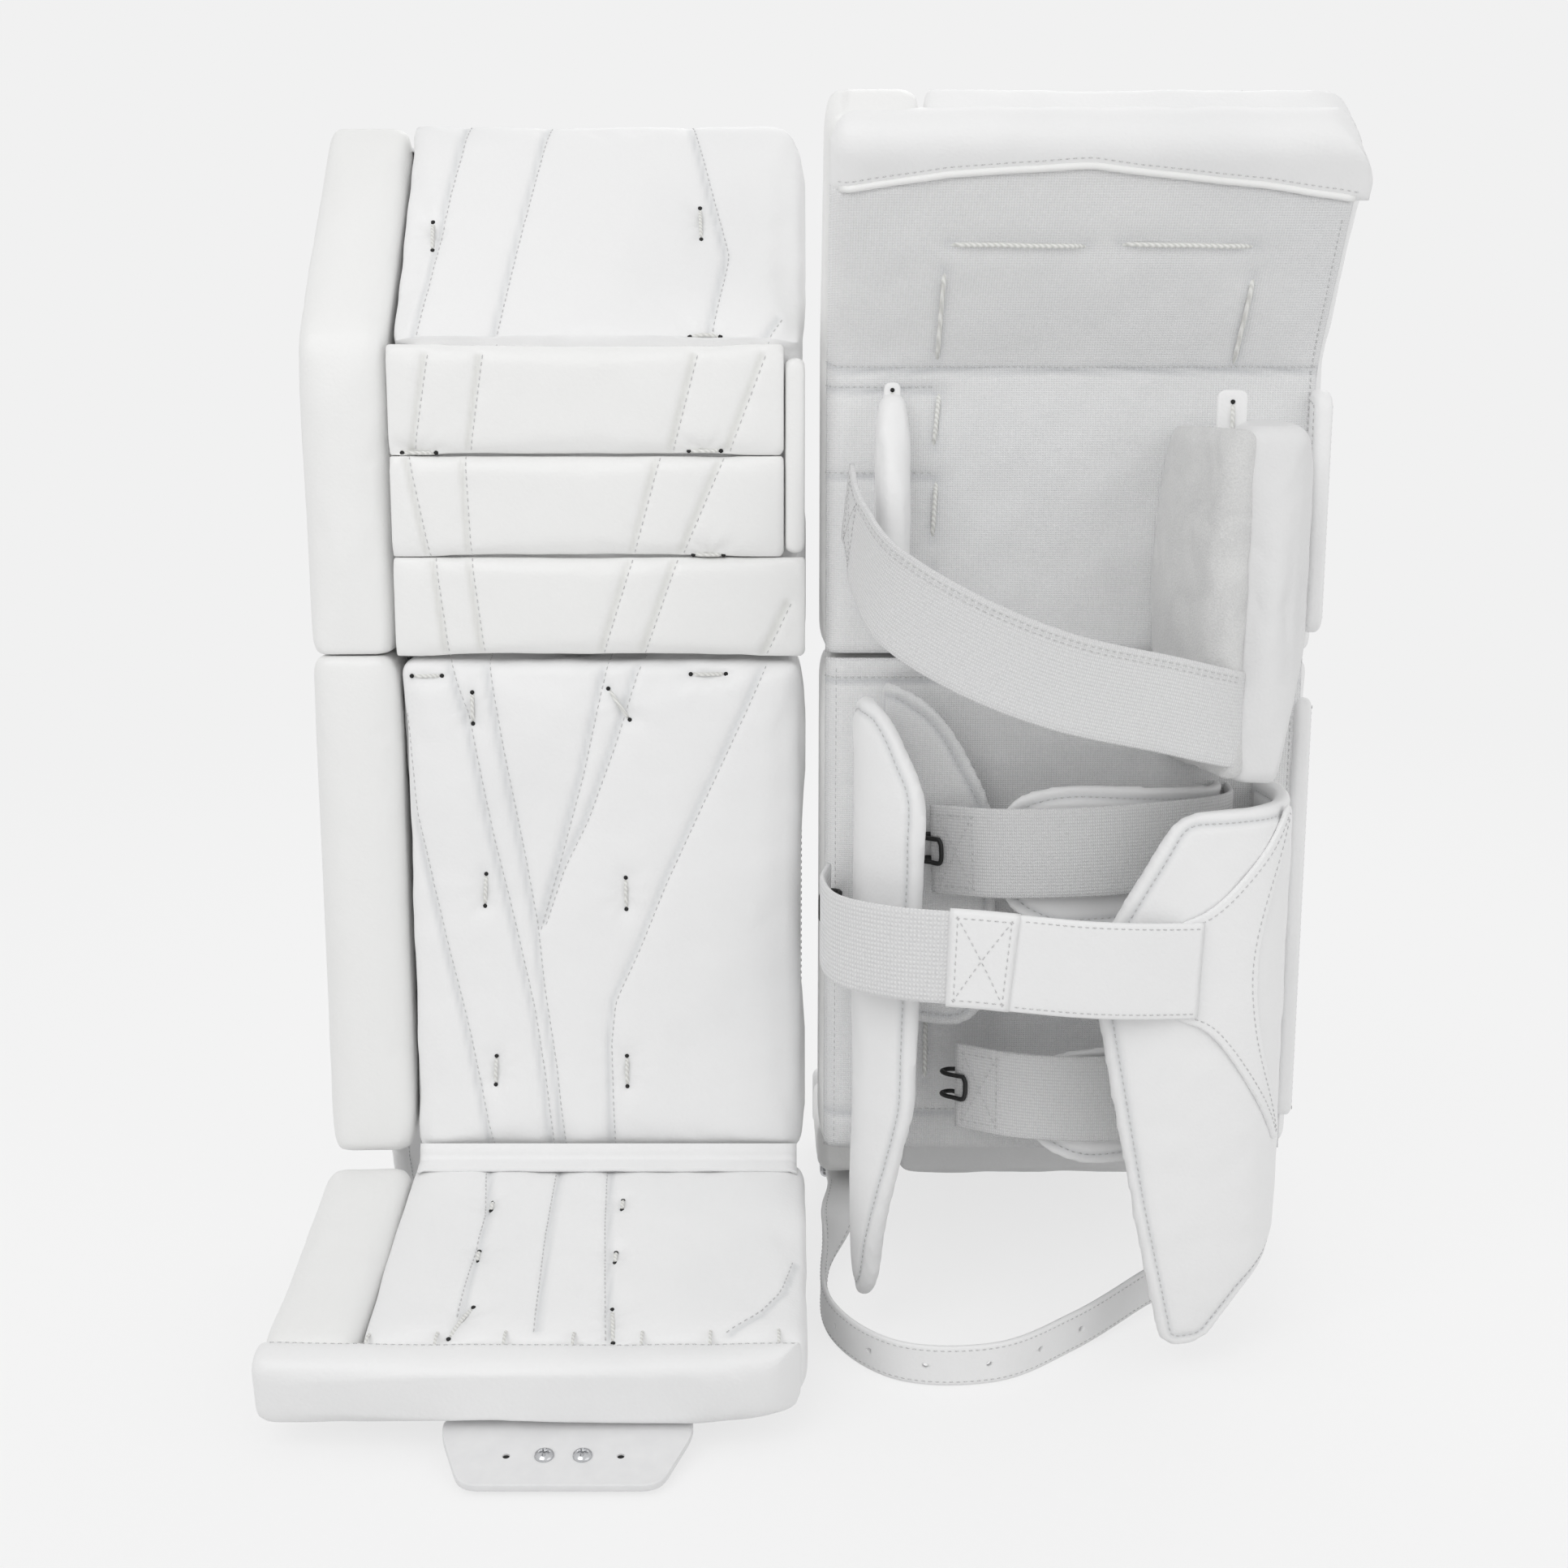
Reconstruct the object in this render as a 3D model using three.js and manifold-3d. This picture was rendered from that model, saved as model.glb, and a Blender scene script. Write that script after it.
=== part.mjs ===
// A pair of ice hockey goalie leg pads, in millimetres, +Z up.
// The right-leg pad shows its front towards -Y, and the left-leg pad beside it shows its leg side towards -Y.
// Each pad is drawn once in its own frame: X across it with the outer side at -X, Y from its front face (-Y)
// to the leg side (+Y), and Z = 0 at the seam between the knee and the shin. The left pad is its mirror image
// in Y.
import * as THREE from "three";
import { mergeVertices } from "three/addons/utils/BufferGeometryUtils.js";
import Module from "manifold-3d";

const wasm = await Module();
wasm.setup();
const degrees = Math.PI / 180;

// ---- Driving dimensions ----
const gap = 0.4; // between pieces that touch
const padWidth = 280;
const padSpacing = 8; // between the two pads, so that a wrap can open beside the other pad's boot
const coreDepth = 62; // shin and knee, front face to leg side
const frontFace = -36;
const coverWall = 2;
const panelMargin = 12; // how far the leg-side panel stops short of the cover's edges
const sewnMargin = 52; // and on the shin's inner side, where the wraps and straps are sewn to the cover
const edgeRadius = 10;

const rollWidth = 49; // the outer roll down the side of the pad
const rollDrop = 3; // how far the roll sits behind the front face
const rollRise = 2; // and in front of the leg side
const shinLength = 296;
const kneeLength = 167;
const kneeRollDepth = 14;
const kneeRollCount = 3;
const thighLength = 168;
const thighLean = 40 * degrees;
const thighTopDepth = 38;

const bootLength = 196;
const bootDepth = 40;
const bindingHeight = 26; // the edge roll along the toe
const innerToeRadius = 50;
const outerToeRadius = 14;
const bootBend = 80 * degrees; // forward from straight down

// The sewn edge that the boot hinges on. It starts and ends a little inside the cover's sides.
const creaseStrip = { fromRoll: 13, fromInner: 14, width: 10, inwards: 0.5 };
const boardWidth = 9; // stiff boards that stand up along the inner edge
const kneeBoardHeight = 20;
const shinBoardHeight = 8;

const toePlate = { centre: 18, topWidth: 126, endWidth: 98, tuck: 30, reach: 38, thickness: 4 };
const toeHole = { count: 4, spacing: 19, radius: 2.3, fromBoot: 17 };
const toeScrew = { headRadius: 5.7, headHeight: 3, shankRadius: 1.9, shankLength: 12 };

const stackRise = 105; // how far the knee stack stands up from the leg side
const stackBelowTop = 36; // and how far it stops under the top of the knee
const stackFoot = -56;
const stackClear = 6; // the stack is sewn to the knee only, and its foot stands this far off the shin
const wingWidth = 17;
const wrapThickness = 11;
const wrapInset = 30; // the wraps' sewn edges, in from the pad's edges
const calfTop = -66;
const calfTipDrop = 74; // how far the calf wrap's tip hangs past the shin

const strapThickness = 3;
const elasticWidth = 50;
const outerStrapWidth = 52;
const bootStrapWidth = 23;
const bootStrapHoles = { count: 7, radius: 1.6, spacing: 0.055, middle: 0.56 }; // shares of the strap's line
const heelLoopDrop = 75; // the loop's centre line behind the heel, below the shin
const strapOnSole = 78; // how far along the sole from the crease the heel strap is sewn
const hook = { width: 16, thickness: 2.6 };
const buckleFrame = { wall: 3, thickness: 3, clearance: 0.7, fromOuter: 18, fromCrease: 62 };

// ---- Sizes that follow ----
const innerEdge = padWidth / 2;
const outerEdge = -padWidth / 2;
const backFace = frontFace + coreDepth;
const rollBack = backFace - rollRise;
const fromInner = (x) => innerEdge - x;
const fromOuter = (x) => outerEdge + x;
const behind = (y) => backFace + y;
const belowShin = (z) => -shinLength - z;
const belowKneeTop = (z) => kneeLength - z;
const wrapRootSunk = 6; // a wrap's line starts this far inside the pad, and its root is cut off flat
const calfTip = belowShin(calfTipDrop);
const heelLoopHeight = belowShin(heelLoopDrop);
const boardStart = innerEdge - panelMargin + gap;
const coverStart = outerEdge + rollWidth + gap;
const kneeFront = frontFace + kneeRollDepth;
const thighFoot = new THREE.Vector2(frontFace + rollDrop, kneeLength + 1);
const thighUp = new THREE.Vector2(Math.sin(thighLean), Math.cos(thighLean));
const thighBack = new THREE.Vector2(Math.cos(thighLean), -Math.sin(thighLean));
const bootCrease = new THREE.Vector3(0, frontFace + 1, -shinLength);
const bandSteps = 14;
const bevelSteps = 2;
const cornerSteps = 3;

// ---- Colours and finishes ----
const finish = (color, roughness, metalness = 0) =>
  new THREE.MeshStandardMaterial({ color, roughness, metalness });
const materials = {
  leather: finish(0xf1f2f3, 0.45),
  nylon: finish(0xcfd0d2, 0.85),
  foam: finish(0xdedbd2, 0.95),
  elastic: finish(0xe2e3e4, 0.9),
  plate: finish(0xdcdddf, 0.4),
  steel: finish(0xb8babd, 0.25, 1),
  blackPlastic: finish(0x151515, 0.5),
};

// ---- Solid tools ----
const alongAxis = (x, y, z) => new THREE.Vector3(x, y, z);
const axesX = new THREE.Matrix4().makeBasis(alongAxis(0, 1, 0), alongAxis(0, 0, 1), alongAxis(1, 0, 0));
const axesY = new THREE.Matrix4().makeBasis(alongAxis(1, 0, 0), alongAxis(0, 0, 1), alongAxis(0, -1, 0));

function solid(geometry) {
  const bare = geometry.clone();
  bare.deleteAttribute("normal");
  bare.deleteAttribute("uv");
  const merged = mergeVertices(bare, 1e-4);
  const vertProperties = merged.attributes.position.array;
  const triVerts = new Uint32Array(merged.index.array);
  return new wasm.Manifold(new wasm.Mesh({ numProp: 3, vertProperties, triVerts }));
}

function geometryOf(manifold) {
  const mesh = manifold.getMesh();
  return new THREE.BufferGeometry()
    .setAttribute("position", new THREE.BufferAttribute(new Float32Array(mesh.vertProperties), 3))
    .setIndex(new THREE.BufferAttribute(new Uint32Array(mesh.triVerts), 1));
}

// A closed outline through the points, with each corner rounded to its own radius or to the common one.
function roundedOutline(points, radius) {
  const shape = new THREE.Shape();
  points.forEach((corner, i) => {
    const before = points[(i + points.length - 1) % points.length];
    const after = points[(i + 1) % points.length];
    const reach = corner[2] ?? radius;
    const at = new THREE.Vector2(corner[0], corner[1]);
    const start = new THREE.Vector2(before[0], before[1]).sub(at);
    const end = new THREE.Vector2(after[0], after[1]).sub(at);
    start.setLength(Math.min(reach, start.length() * 0.45)).add(at);
    end.setLength(Math.min(reach, end.length() * 0.45)).add(at);
    if (i === 0) shape.moveTo(start.x, start.y);
    else shape.lineTo(start.x, start.y);
    shape.quadraticCurveTo(at.x, at.y, end.x, end.y);
  });
  shape.closePath();
  return shape;
}

// The outline moved inwards by a distance, edge by edge. Its points run anticlockwise.
function inset(points, distance) {
  return points.map((corner, i) => {
    const before = points[(i + points.length - 1) % points.length];
    const after = points[(i + 1) % points.length];
    const a = new THREE.Vector2(corner[0] - before[0], corner[1] - before[1]).normalize();
    const b = new THREE.Vector2(after[0] - corner[0], after[1] - corner[1]).normalize();
    const cross = a.x * b.y - a.y * b.x;
    const along = (distance * (1 - a.dot(b))) / (Math.abs(cross) < 1e-6 ? 1 : cross);
    const x = corner[0] - a.y * distance - a.x * along;
    const y = corner[1] + a.x * distance - a.y * along;
    return corner[2] === undefined ? [x, y] : [x, y, Math.max(corner[2] - distance, 1)];
  });
}

// A solid between two planes of an outline whose corners and end edges are rounded.
// Each ring is the outline moved inwards as the end's edge curves over.
function rounded(points, radius, low, high, bevel, axes) {
  const rings = [];
  for (let i = 0; i <= bevelSteps; i++) {
    const turn = (i / bevelSteps) * 90 * degrees;
    const inwards = bevel * (1 - Math.sin(turn));
    const shape = roundedOutline(inset(points, inwards), Math.max(radius - inwards, 1));
    const outline = shape.getPoints(cornerSteps);
    outline.pop();
    rings.push({ outline, depth: bevel * (1 - Math.cos(turn)) });
  }
  const layers = rings.map(({ outline, depth }) => ({ outline, z: low + depth }));
  layers.push(...rings.map(({ outline, depth }) => ({ outline, z: high - depth })).reverse());
  const count = layers[0].outline.length;
  const corners = layers.flatMap(({ outline, z }) => outline.flatMap((p) => [p.x, p.y, z]));
  const faces = [];
  for (let layer = 0; layer < layers.length - 1; layer++) {
    for (let k = 0; k < count; k++) {
      const a = layer * count + k;
      const b = layer * count + ((k + 1) % count);
      faces.push(a, b, b + count, a, b + count, a + count);
    }
  }
  const top = (layers.length - 1) * count;
  for (const [a, b, c] of THREE.ShapeUtils.triangulateShape(layers[0].outline, [])) {
    faces.push(a, c, b, top + a, top + b, top + c);
  }
  const geometry = new THREE.BufferGeometry()
    .setAttribute("position", new THREE.BufferAttribute(new Float32Array(corners), 3))
    .setIndex(faces);
  if (axes) geometry.applyMatrix4(axes);
  return geometry;
}

const roundedX = (points, radius, low, high, bevel) => rounded(points, radius, low, high, bevel, axesX);
const roundedY = (points, radius, low, high, bevel) => rounded(points, radius, -high, -low, bevel, axesY);

// A shape extruded between two planes, its edges sharp.
function extruded(shape, low, high, axes) {
  const depth = high - low;
  const geometry = new THREE.ExtrudeGeometry(shape, { depth, bevelEnabled: false, curveSegments: 6 });
  geometry.translate(0, 0, low);
  if (axes) geometry.applyMatrix4(axes);
  return geometry;
}
const alongX = (shape, low, high) => extruded(shape, low, high, axesX);
const alongY = (shape, low, high) => extruded(shape, -high, -low, axesY);
const alongZ = (shape, low, high) => extruded(shape, low, high);
const block = (x0, x1, y0, y1, z0, z1) => {
  const box = new THREE.BoxGeometry(x1 - x0, y1 - y0, z1 - z0);
  return box.translate((x0 + x1) / 2, (y0 + y1) / 2, (z0 + z1) / 2);
};

// A flat strap along a curve. Each point may name the direction of the strap's width, which is up otherwise.
function strapCurve(points, widthDirections = []) {
  const line = points.map((p) => (p.isVector3 ? p : new THREE.Vector3(...p)));
  const across = points.map((p, i) => widthDirections[i] ?? new THREE.Vector3(0, 0, 1));
  const path = new THREE.CatmullRomCurve3(line, false, "centripetal");
  const turn = new THREE.CatmullRomCurve3(across);
  return (share) => {
    const at = path.getPoint(share);
    const ahead = path.getTangent(share);
    const normal = ahead.clone().cross(turn.getPoint(share)).normalize();
    return { at, ahead, normal, across: normal.clone().cross(ahead) };
  };
}

function strap(curve, width, thickness, steps = bandSteps) {
  const corners = [];
  const faces = [];
  for (let i = 0; i <= steps; i++) {
    const { at, normal, across } = curve(i / steps);
    for (const [n, w] of [[1, -1], [1, 1], [-1, 1], [-1, -1]]) {
      const edge = at.clone().addScaledVector(normal, (n * thickness) / 2);
      corners.push(...edge.addScaledVector(across, (w * width) / 2).toArray());
    }
    if (i === steps) break;
    for (let k = 0; k < 4; k++) {
      const a = 4 * i + k;
      const b = 4 * i + ((k + 1) % 4);
      faces.push(a, b + 4, b, a, a + 4, b + 4);
    }
  }
  const last = 4 * steps;
  faces.push(0, 1, 2, 0, 2, 3, last, last + 2, last + 1, last, last + 3, last + 2);
  return new THREE.BufferGeometry()
    .setAttribute("position", new THREE.BufferAttribute(new Float32Array(corners), 3))
    .setIndex(faces);
}

// A smooth level line through plan points.
function planCurve(plan) {
  const points = plan.map(([x, y]) => new THREE.Vector3(x, y, 0));
  return new THREE.CatmullRomCurve3(points, false, "centripetal");
}

// A wall of even thickness along a line of plan points, standing from low to high.
function wallAlong(plan, thickness, low, high) {
  const curve = planCurve(plan);
  const left = [];
  const right = [];
  const steps = 10;
  for (let i = 0; i <= steps; i++) {
    const at = curve.getPointAt(i / steps);
    const ahead = curve.getTangentAt(i / steps);
    left.push(new THREE.Vector2(at.x - (ahead.y * thickness) / 2, at.y + (ahead.x * thickness) / 2));
    right.push(new THREE.Vector2(at.x + (ahead.y * thickness) / 2, at.y - (ahead.x * thickness) / 2));
  }
  return alongZ(new THREE.Shape([...right, ...left.reverse()]), low, high);
}

// ---- One segment of the pad: cover, foam core and leg-side panel ----
function segment(profile, x0, x1, radius) {
  const wall = coverWall + gap;
  const bevel = radius - 2;
  const inside = (thickness) =>
    roundedX(inset(profile, thickness), radius - thickness, x0 + thickness, x1 - thickness, bevel - thickness);
  return { shell: solid(inside(0)).subtract(solid(inside(coverWall))), core: solid(inside(wall)) };
}

// A sheet in the leg side of a segment, whose profile starts with the points of that side, up to number last.
// It lies between two depths under the surface and stops short of the edges by a margin.
function legSideSheet(profile, last, radius, [x0, x1], margin, outerDepth, innerDepth) {
  const trimmed = (from, towards, turn, depth) => {
    const along = new THREE.Vector2(towards[0] - from[0], towards[1] - from[1]).normalize();
    const y = from[0] + along.x * margin - along.y * depth * turn;
    const z = from[1] + along.y * margin + along.x * depth * turn;
    return [y, z, 0.8];
  };
  const side = (depth) => [
    trimmed(profile[0], profile[1], 1, depth),
    ...inset(profile, depth).slice(1, last).map(([y, z]) => [y, z, radius - depth]),
    trimmed(profile[last], profile[last - 1], -1, depth),
  ];
  const outline = [...side(outerDepth), ...side(innerDepth).reverse()];
  return alongX(roundedOutline(outline, radius), x0, x1);
}

function panelAndWindow(profile, last, radius, innerMargin) {
  const [x0, x1] = [coverStart + panelMargin, innerEdge - innerMargin];
  const inWindow = [x0 + gap, x1 - gap];
  return {
    window: solid(legSideSheet(profile, last, radius, [x0, x1], panelMargin, -1, coverWall + 0.3)),
    panel: legSideSheet(profile, last, radius, inWindow, panelMargin + gap, 0, coverWall),
  };
}

// ---- The pad ----
function buildPad(side) {
  const pad = new THREE.Group();
  const boot = new THREE.Group();
  boot.position.copy(bootCrease);
  boot.rotation.x = -bootBend;
  pad.add(boot);
  const place = (parent, name, shape, material) => {
    const geometry = shape instanceof THREE.BufferGeometry ? shape : geometryOf(shape);
    const mesh = new THREE.Mesh(geometry, material);
    mesh.name = `${side}_${name}`;
    parent.add(mesh);
    return mesh;
  };

  thigh(pad, place);
  shin(pad, place);
  bootPieces(boot, place);
  kneeWraps(pad, place);
  calfWraps(pad, place);
  bootStrap(boot, place);
  return pad;
}

function thigh(pad, place) {
  const top = thighFoot.clone().addScaledVector(thighUp, thighLength);
  const topBack = top.clone().addScaledVector(thighBack, thighTopDepth);
  const profile = [
    [backFace, gap],
    [backFace, kneeLength - 8],
    [topBack.x, topBack.y],
    [top.x, top.y],
    [thighFoot.x, thighFoot.y, 2],
    [kneeFront, kneeLength, 2],
    [kneeFront, gap, 3],
  ];
  const { shell, core } = segment(profile, coverStart, innerEdge, edgeRadius);
  const { window, panel } = panelAndWindow(profile, 2, edgeRadius, panelMargin);
  const board = boardOnEdge(kneeBoardHeight, 14, belowKneeTop(20));
  place(pad, "thigh_cover", shell.subtract(window).add(board), materials.leather);
  place(pad, "thigh_core", core, materials.foam);
  place(pad, "thigh_back_panel", panel, materials.nylon);
  kneeRolls(pad, place);

  const rollTop = top.clone().addScaledVector(thighUp, -2);
  const rollProfile = [
    [rollBack, gap],
    [rollBack, kneeLength - 8],
    [topBack.x - rollRise, topBack.y],
    [rollTop.x + rollDrop, rollTop.y],
    [frontFace + rollDrop + 2, kneeLength + 1],
    [frontFace + rollDrop, kneeLength / 2],
    [frontFace + rollDrop, gap],
  ];
  const roll = roundedX(rollProfile, 14, outerEdge, outerEdge + rollWidth, 12);
  place(pad, "thigh_outer_roll", roll, materials.leather);
}

// A stiff board standing up from the cover's leg side along its inner edge.
function boardOnEdge(height, low, high) {
  return solid(block(boardStart, boardStart + boardWidth, backFace - coverWall, backFace + height, low, high));
}

function kneeRolls(pad, place) {
  const pitch = kneeLength / kneeRollCount;
  ["lower", "middle", "upper"].forEach((name, i) => {
    const z0 = i * pitch + gap;
    const z1 = (i + 1) * pitch - 0.5;
    const profile = [
      [kneeFront - gap, z0, 3],
      [kneeFront - gap, z1, 3],
      [frontFace, z1, 9],
      [frontFace, z0, 9],
    ];
    const inner = i === 0 ? innerEdge - 1 : innerEdge - 13;
    const roll = roundedX(profile, 3, coverStart + 2, inner, 2.5);
    place(pad, `knee_roll_${name}`, roll, materials.leather);
  });
}

function shin(pad, place) {
  const profile = [
    [backFace, 2 - shinLength],
    [backFace, 0],
    [frontFace, 0],
    [frontFace, 2 - shinLength],
  ];
  const { shell, core } = segment(profile, coverStart, innerEdge, edgeRadius);
  const { window, panel } = panelAndWindow(profile, 1, edgeRadius, sewnMargin);
  const board = boardOnEdge(shinBoardHeight, belowShin(-24), -24);
  const crease = creaseBlock(frontFace + creaseStrip.inwards, frontFace + coverWall, belowShin(-gap));
  place(pad, "shin_cover", shell.subtract(window).add(board).add(solid(crease)), materials.leather);
  place(pad, "shin_core", core, materials.foam);
  place(pad, "shin_back_panel", panel, materials.nylon);
  const rollProfile = [
    [frontFace + rollDrop, 0],
    [frontFace + rollDrop, 4 - shinLength],
    [rollBack, 4 - shinLength],
    [rollBack, 0],
  ];
  const roll = roundedX(rollProfile, 14, outerEdge, outerEdge + rollWidth, 12);
  place(pad, "shin_outer_roll", roll, materials.leather);
}

// The thin lip along the crease, from its lower edge up.
function creaseBlock(y0, y1, low) {
  const { fromRoll, fromInner: inFromInner, width } = creaseStrip;
  return block(coverStart + fromRoll, fromInner(inFromInner), y0, y1, low, low + width - gap);
}

// The boot hangs down from its crease at (0, 0), from its front face at y = 0 to its leg side at bootDepth.
function bootPieces(boot, place) {
  const bindingTop = bindingHeight - bootLength;
  const outline = [
    [innerEdge, -2, 12],
    [coverStart, -2, 12],
    [coverStart, bindingTop, 2],
    [outerEdge, bindingTop, 9],
    [outerEdge, -bootLength, outerToeRadius],
    [innerEdge, -bootLength, innerToeRadius],
  ];
  const wall = coverWall + gap;
  const crease = creaseBlock(creaseStrip.inwards, coverWall, -creaseStrip.width);
  const outer = solid(roundedY(outline, 9, 0, bootDepth, 7)).add(solid(crease));
  const hollow = solid(roundedY(inset(outline, coverWall), 9, coverWall, bootDepth + 20, 5));
  place(boot, "boot_cover", outer.subtract(hollow), materials.leather);
  place(boot, "boot_core", roundedY(inset(outline, wall), 9, wall, bootDepth, 5), materials.foam);
  const roll = [
    [outerEdge + rollWidth, -3],
    [outerEdge, -3],
    [outerEdge, bindingTop + gap],
    [outerEdge + rollWidth, bindingTop + gap],
  ];
  place(boot, "boot_outer_roll", roundedY(roll, 13, rollDrop, bootDepth - 2, 12), materials.leather);

  const plateFace = bootDepth + gap;
  const { centre, topWidth, endWidth, tuck, reach, thickness } = toePlate;
  const plate = new THREE.Shape([
    new THREE.Vector2(centre + topWidth / 2, -bootLength),
    new THREE.Vector2(centre + topWidth / 2, tuck - bootLength),
    new THREE.Vector2(centre - topWidth / 2, tuck - bootLength),
    new THREE.Vector2(centre - topWidth / 2, -bootLength),
    new THREE.Vector2(centre - endWidth / 2, -bootLength - reach),
    new THREE.Vector2(centre + endWidth / 2, -bootLength - reach),
  ]);
  const holeRow = -bootLength - toeHole.fromBoot;
  for (let i = 0; i < toeHole.count; i++) {
    const x = centre + (i - (toeHole.count - 1) / 2) * toeHole.spacing;
    plate.holes.push(new THREE.Path().absarc(x, holeRow, toeHole.radius, 0, 2 * Math.PI));
    if (i !== 1 && i !== 2) continue;
    place(boot, `toe_screw_${i}`, screw(), materials.steel).position.set(x, plateFace - gap, holeRow);
  }
  place(boot, "toe_bridge_plate", alongY(plate, plateFace, plateFace + thickness), materials.plate);
}

// A pan-head screw along Y, its head in front of y = 0 and its shank behind it.
function screw() {
  const { headRadius, headHeight, shankRadius, shankLength } = toeScrew;
  const profile = [
    [0, -headHeight],
    [headRadius * 0.6, -headHeight * 0.85],
    [headRadius, -headHeight * 0.2],
    [headRadius, 0],
    [shankRadius, 0],
    [shankRadius, shankLength],
    [0, shankLength],
  ];
  const lathe = new THREE.LatheGeometry(profile.map((p) => new THREE.Vector2(...p)), 16);
  return solid(lathe);
}

// The line of each calf wrap, from its sewn edge round the leg.
const calfOuterPlan = [
  [fromOuter(wrapInset), rollBack + gap - wrapRootSunk],
  [fromOuter(24), behind(36)],
  [fromOuter(31), behind(70)],
  [fromOuter(56), behind(95)],
];
const calfInnerPlan = [
  [fromInner(wrapInset), backFace + gap - wrapRootSunk],
  [fromInner(28), behind(49)],
  [fromInner(46), behind(85)],
  [fromInner(90), behind(103)],
  [fromInner(142), behind(105)],
];

// A point off the inner calf wrap's centre line, share of the way along it and out from its outer face.
function offInnerWrap(share, away) {
  const curve = planCurve(calfInnerPlan);
  const at = curve.getPointAt(share);
  const ahead = curve.getTangentAt(share);
  return [at.x + ahead.y * away, at.y - ahead.x * away];
}

function calfWraps(pad, place) {
  const outerLeaf = [
    [rollBack + gap, -40, 2],
    [rollBack + gap, belowShin(-8), 2],
    [behind(62), belowShin(60)],
    [behind(78), belowShin(60)],
    [behind(108), belowShin(-46)],
    [behind(108), -60],
    [behind(86), -14],
    [behind(58), -14],
  ];
  const innerLeaf = [
    [fromInner(10), calfTop],
    [fromInner(94), calfTop],
    [fromInner(146), calfTop - 80],
    [fromInner(114), belowShin(-11)],
    [fromInner(96), calfTip],
    [fromInner(78), calfTip],
    [fromInner(10), belowShin(0), 46],
  ];
  const outerWall = solid(wallAlong(calfOuterPlan, wrapThickness, calfTip, 0));
  const innerWall = solid(wallAlong(calfInnerPlan, wrapThickness, calfTip, calfTop));
  const outerCut = solid(alongX(roundedOutline(outerLeaf, 16), outerEdge, 0));
  const innerCut = solid(alongY(roundedOutline(innerLeaf, 18), backFace + gap, behind(134)));
  place(pad, "calf_wrap_outer", outerWall.intersect(outerCut), materials.leather);
  place(pad, "calf_wrap_inner", innerWall.intersect(innerCut), materials.leather);

  const level = (points, heights) => points.map(([x, y], i) => [x, y, heights[i] ?? heights.at(-1)]);
  const sewnStraps = fromInner(48);
  const upper = [
    [sewnStraps, backFace + gap],
    [fromInner(54), behind(34)],
    [fromInner(90), behind(58)],
    [0, behind(66)],
    [fromOuter(95), behind(60)],
    [fromOuter(62), behind(40)],
  ];
  const lower = [
    [sewnStraps, backFace + gap],
    [fromInner(54), behind(28)],
    [fromInner(85), behind(48)],
    [10, behind(56)],
    [fromOuter(110), behind(50)],
    [fromOuter(78), behind(32)],
  ];
  const upperLine = level(upper, [-97, -97, -97, -99, -101, -103]);
  const lowerLine = level(lower, [belowShin(-53)]);
  strapWithHook(pad, place, "calf_strap_upper", upperLine, elasticWidth, materials.elastic);
  strapWithHook(pad, place, "calf_strap_lower", lowerLine, elasticWidth, materials.elastic);

  const away = wrapThickness / 2 + gap + strapThickness / 2;
  const outerStrap = [
    offInnerWrap(0.58, away),
    offInnerWrap(0.72, away + 3),
    [0, behind(125)],
    [fromOuter(80), behind(126)],
    [fromOuter(36), behind(116)],
    [fromOuter(8), behind(86)],
    [fromOuter(1), behind(48)],
    [fromOuter(5), behind(14)],
  ];
  const outerHeights = [-153, -152, -148, -142, -141, -142];
  strapWithHook(pad, place, "outer_strap", level(outerStrap, outerHeights), outerStrapWidth, materials.nylon);
}

// A strap and the wire hook at its free end, which bends back towards the pad.
function strapWithHook(parent, place, name, points, width, material) {
  place(parent, name, strap(strapCurve(points), width, strapThickness), material);
  const end = new THREE.Vector3(...points[points.length - 1]);
  const ahead = end.clone().sub(new THREE.Vector3(...points[points.length - 2])).setZ(0).normalize();
  const side = new THREE.Vector3(-ahead.y, ahead.x, 0);
  const at = (along, out) => end.clone().addScaledVector(ahead, along).addScaledVector(side, out).toArray();
  const clear = strapThickness / 2 + hook.thickness / 2 + 2 * gap;
  const bend = hook.thickness;
  const path = [
    at(-7, -clear),
    at(-2, -clear),
    at(4, -clear + 0.5),
    at(8, -clear + bend),
    at(9, clear),
    at(5, clear + bend),
  ];
  const wire = strap(strapCurve(path), hook.width, hook.thickness, 10);
  place(parent, `${name}_hook`, wire, materials.blackPlastic);
}

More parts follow.
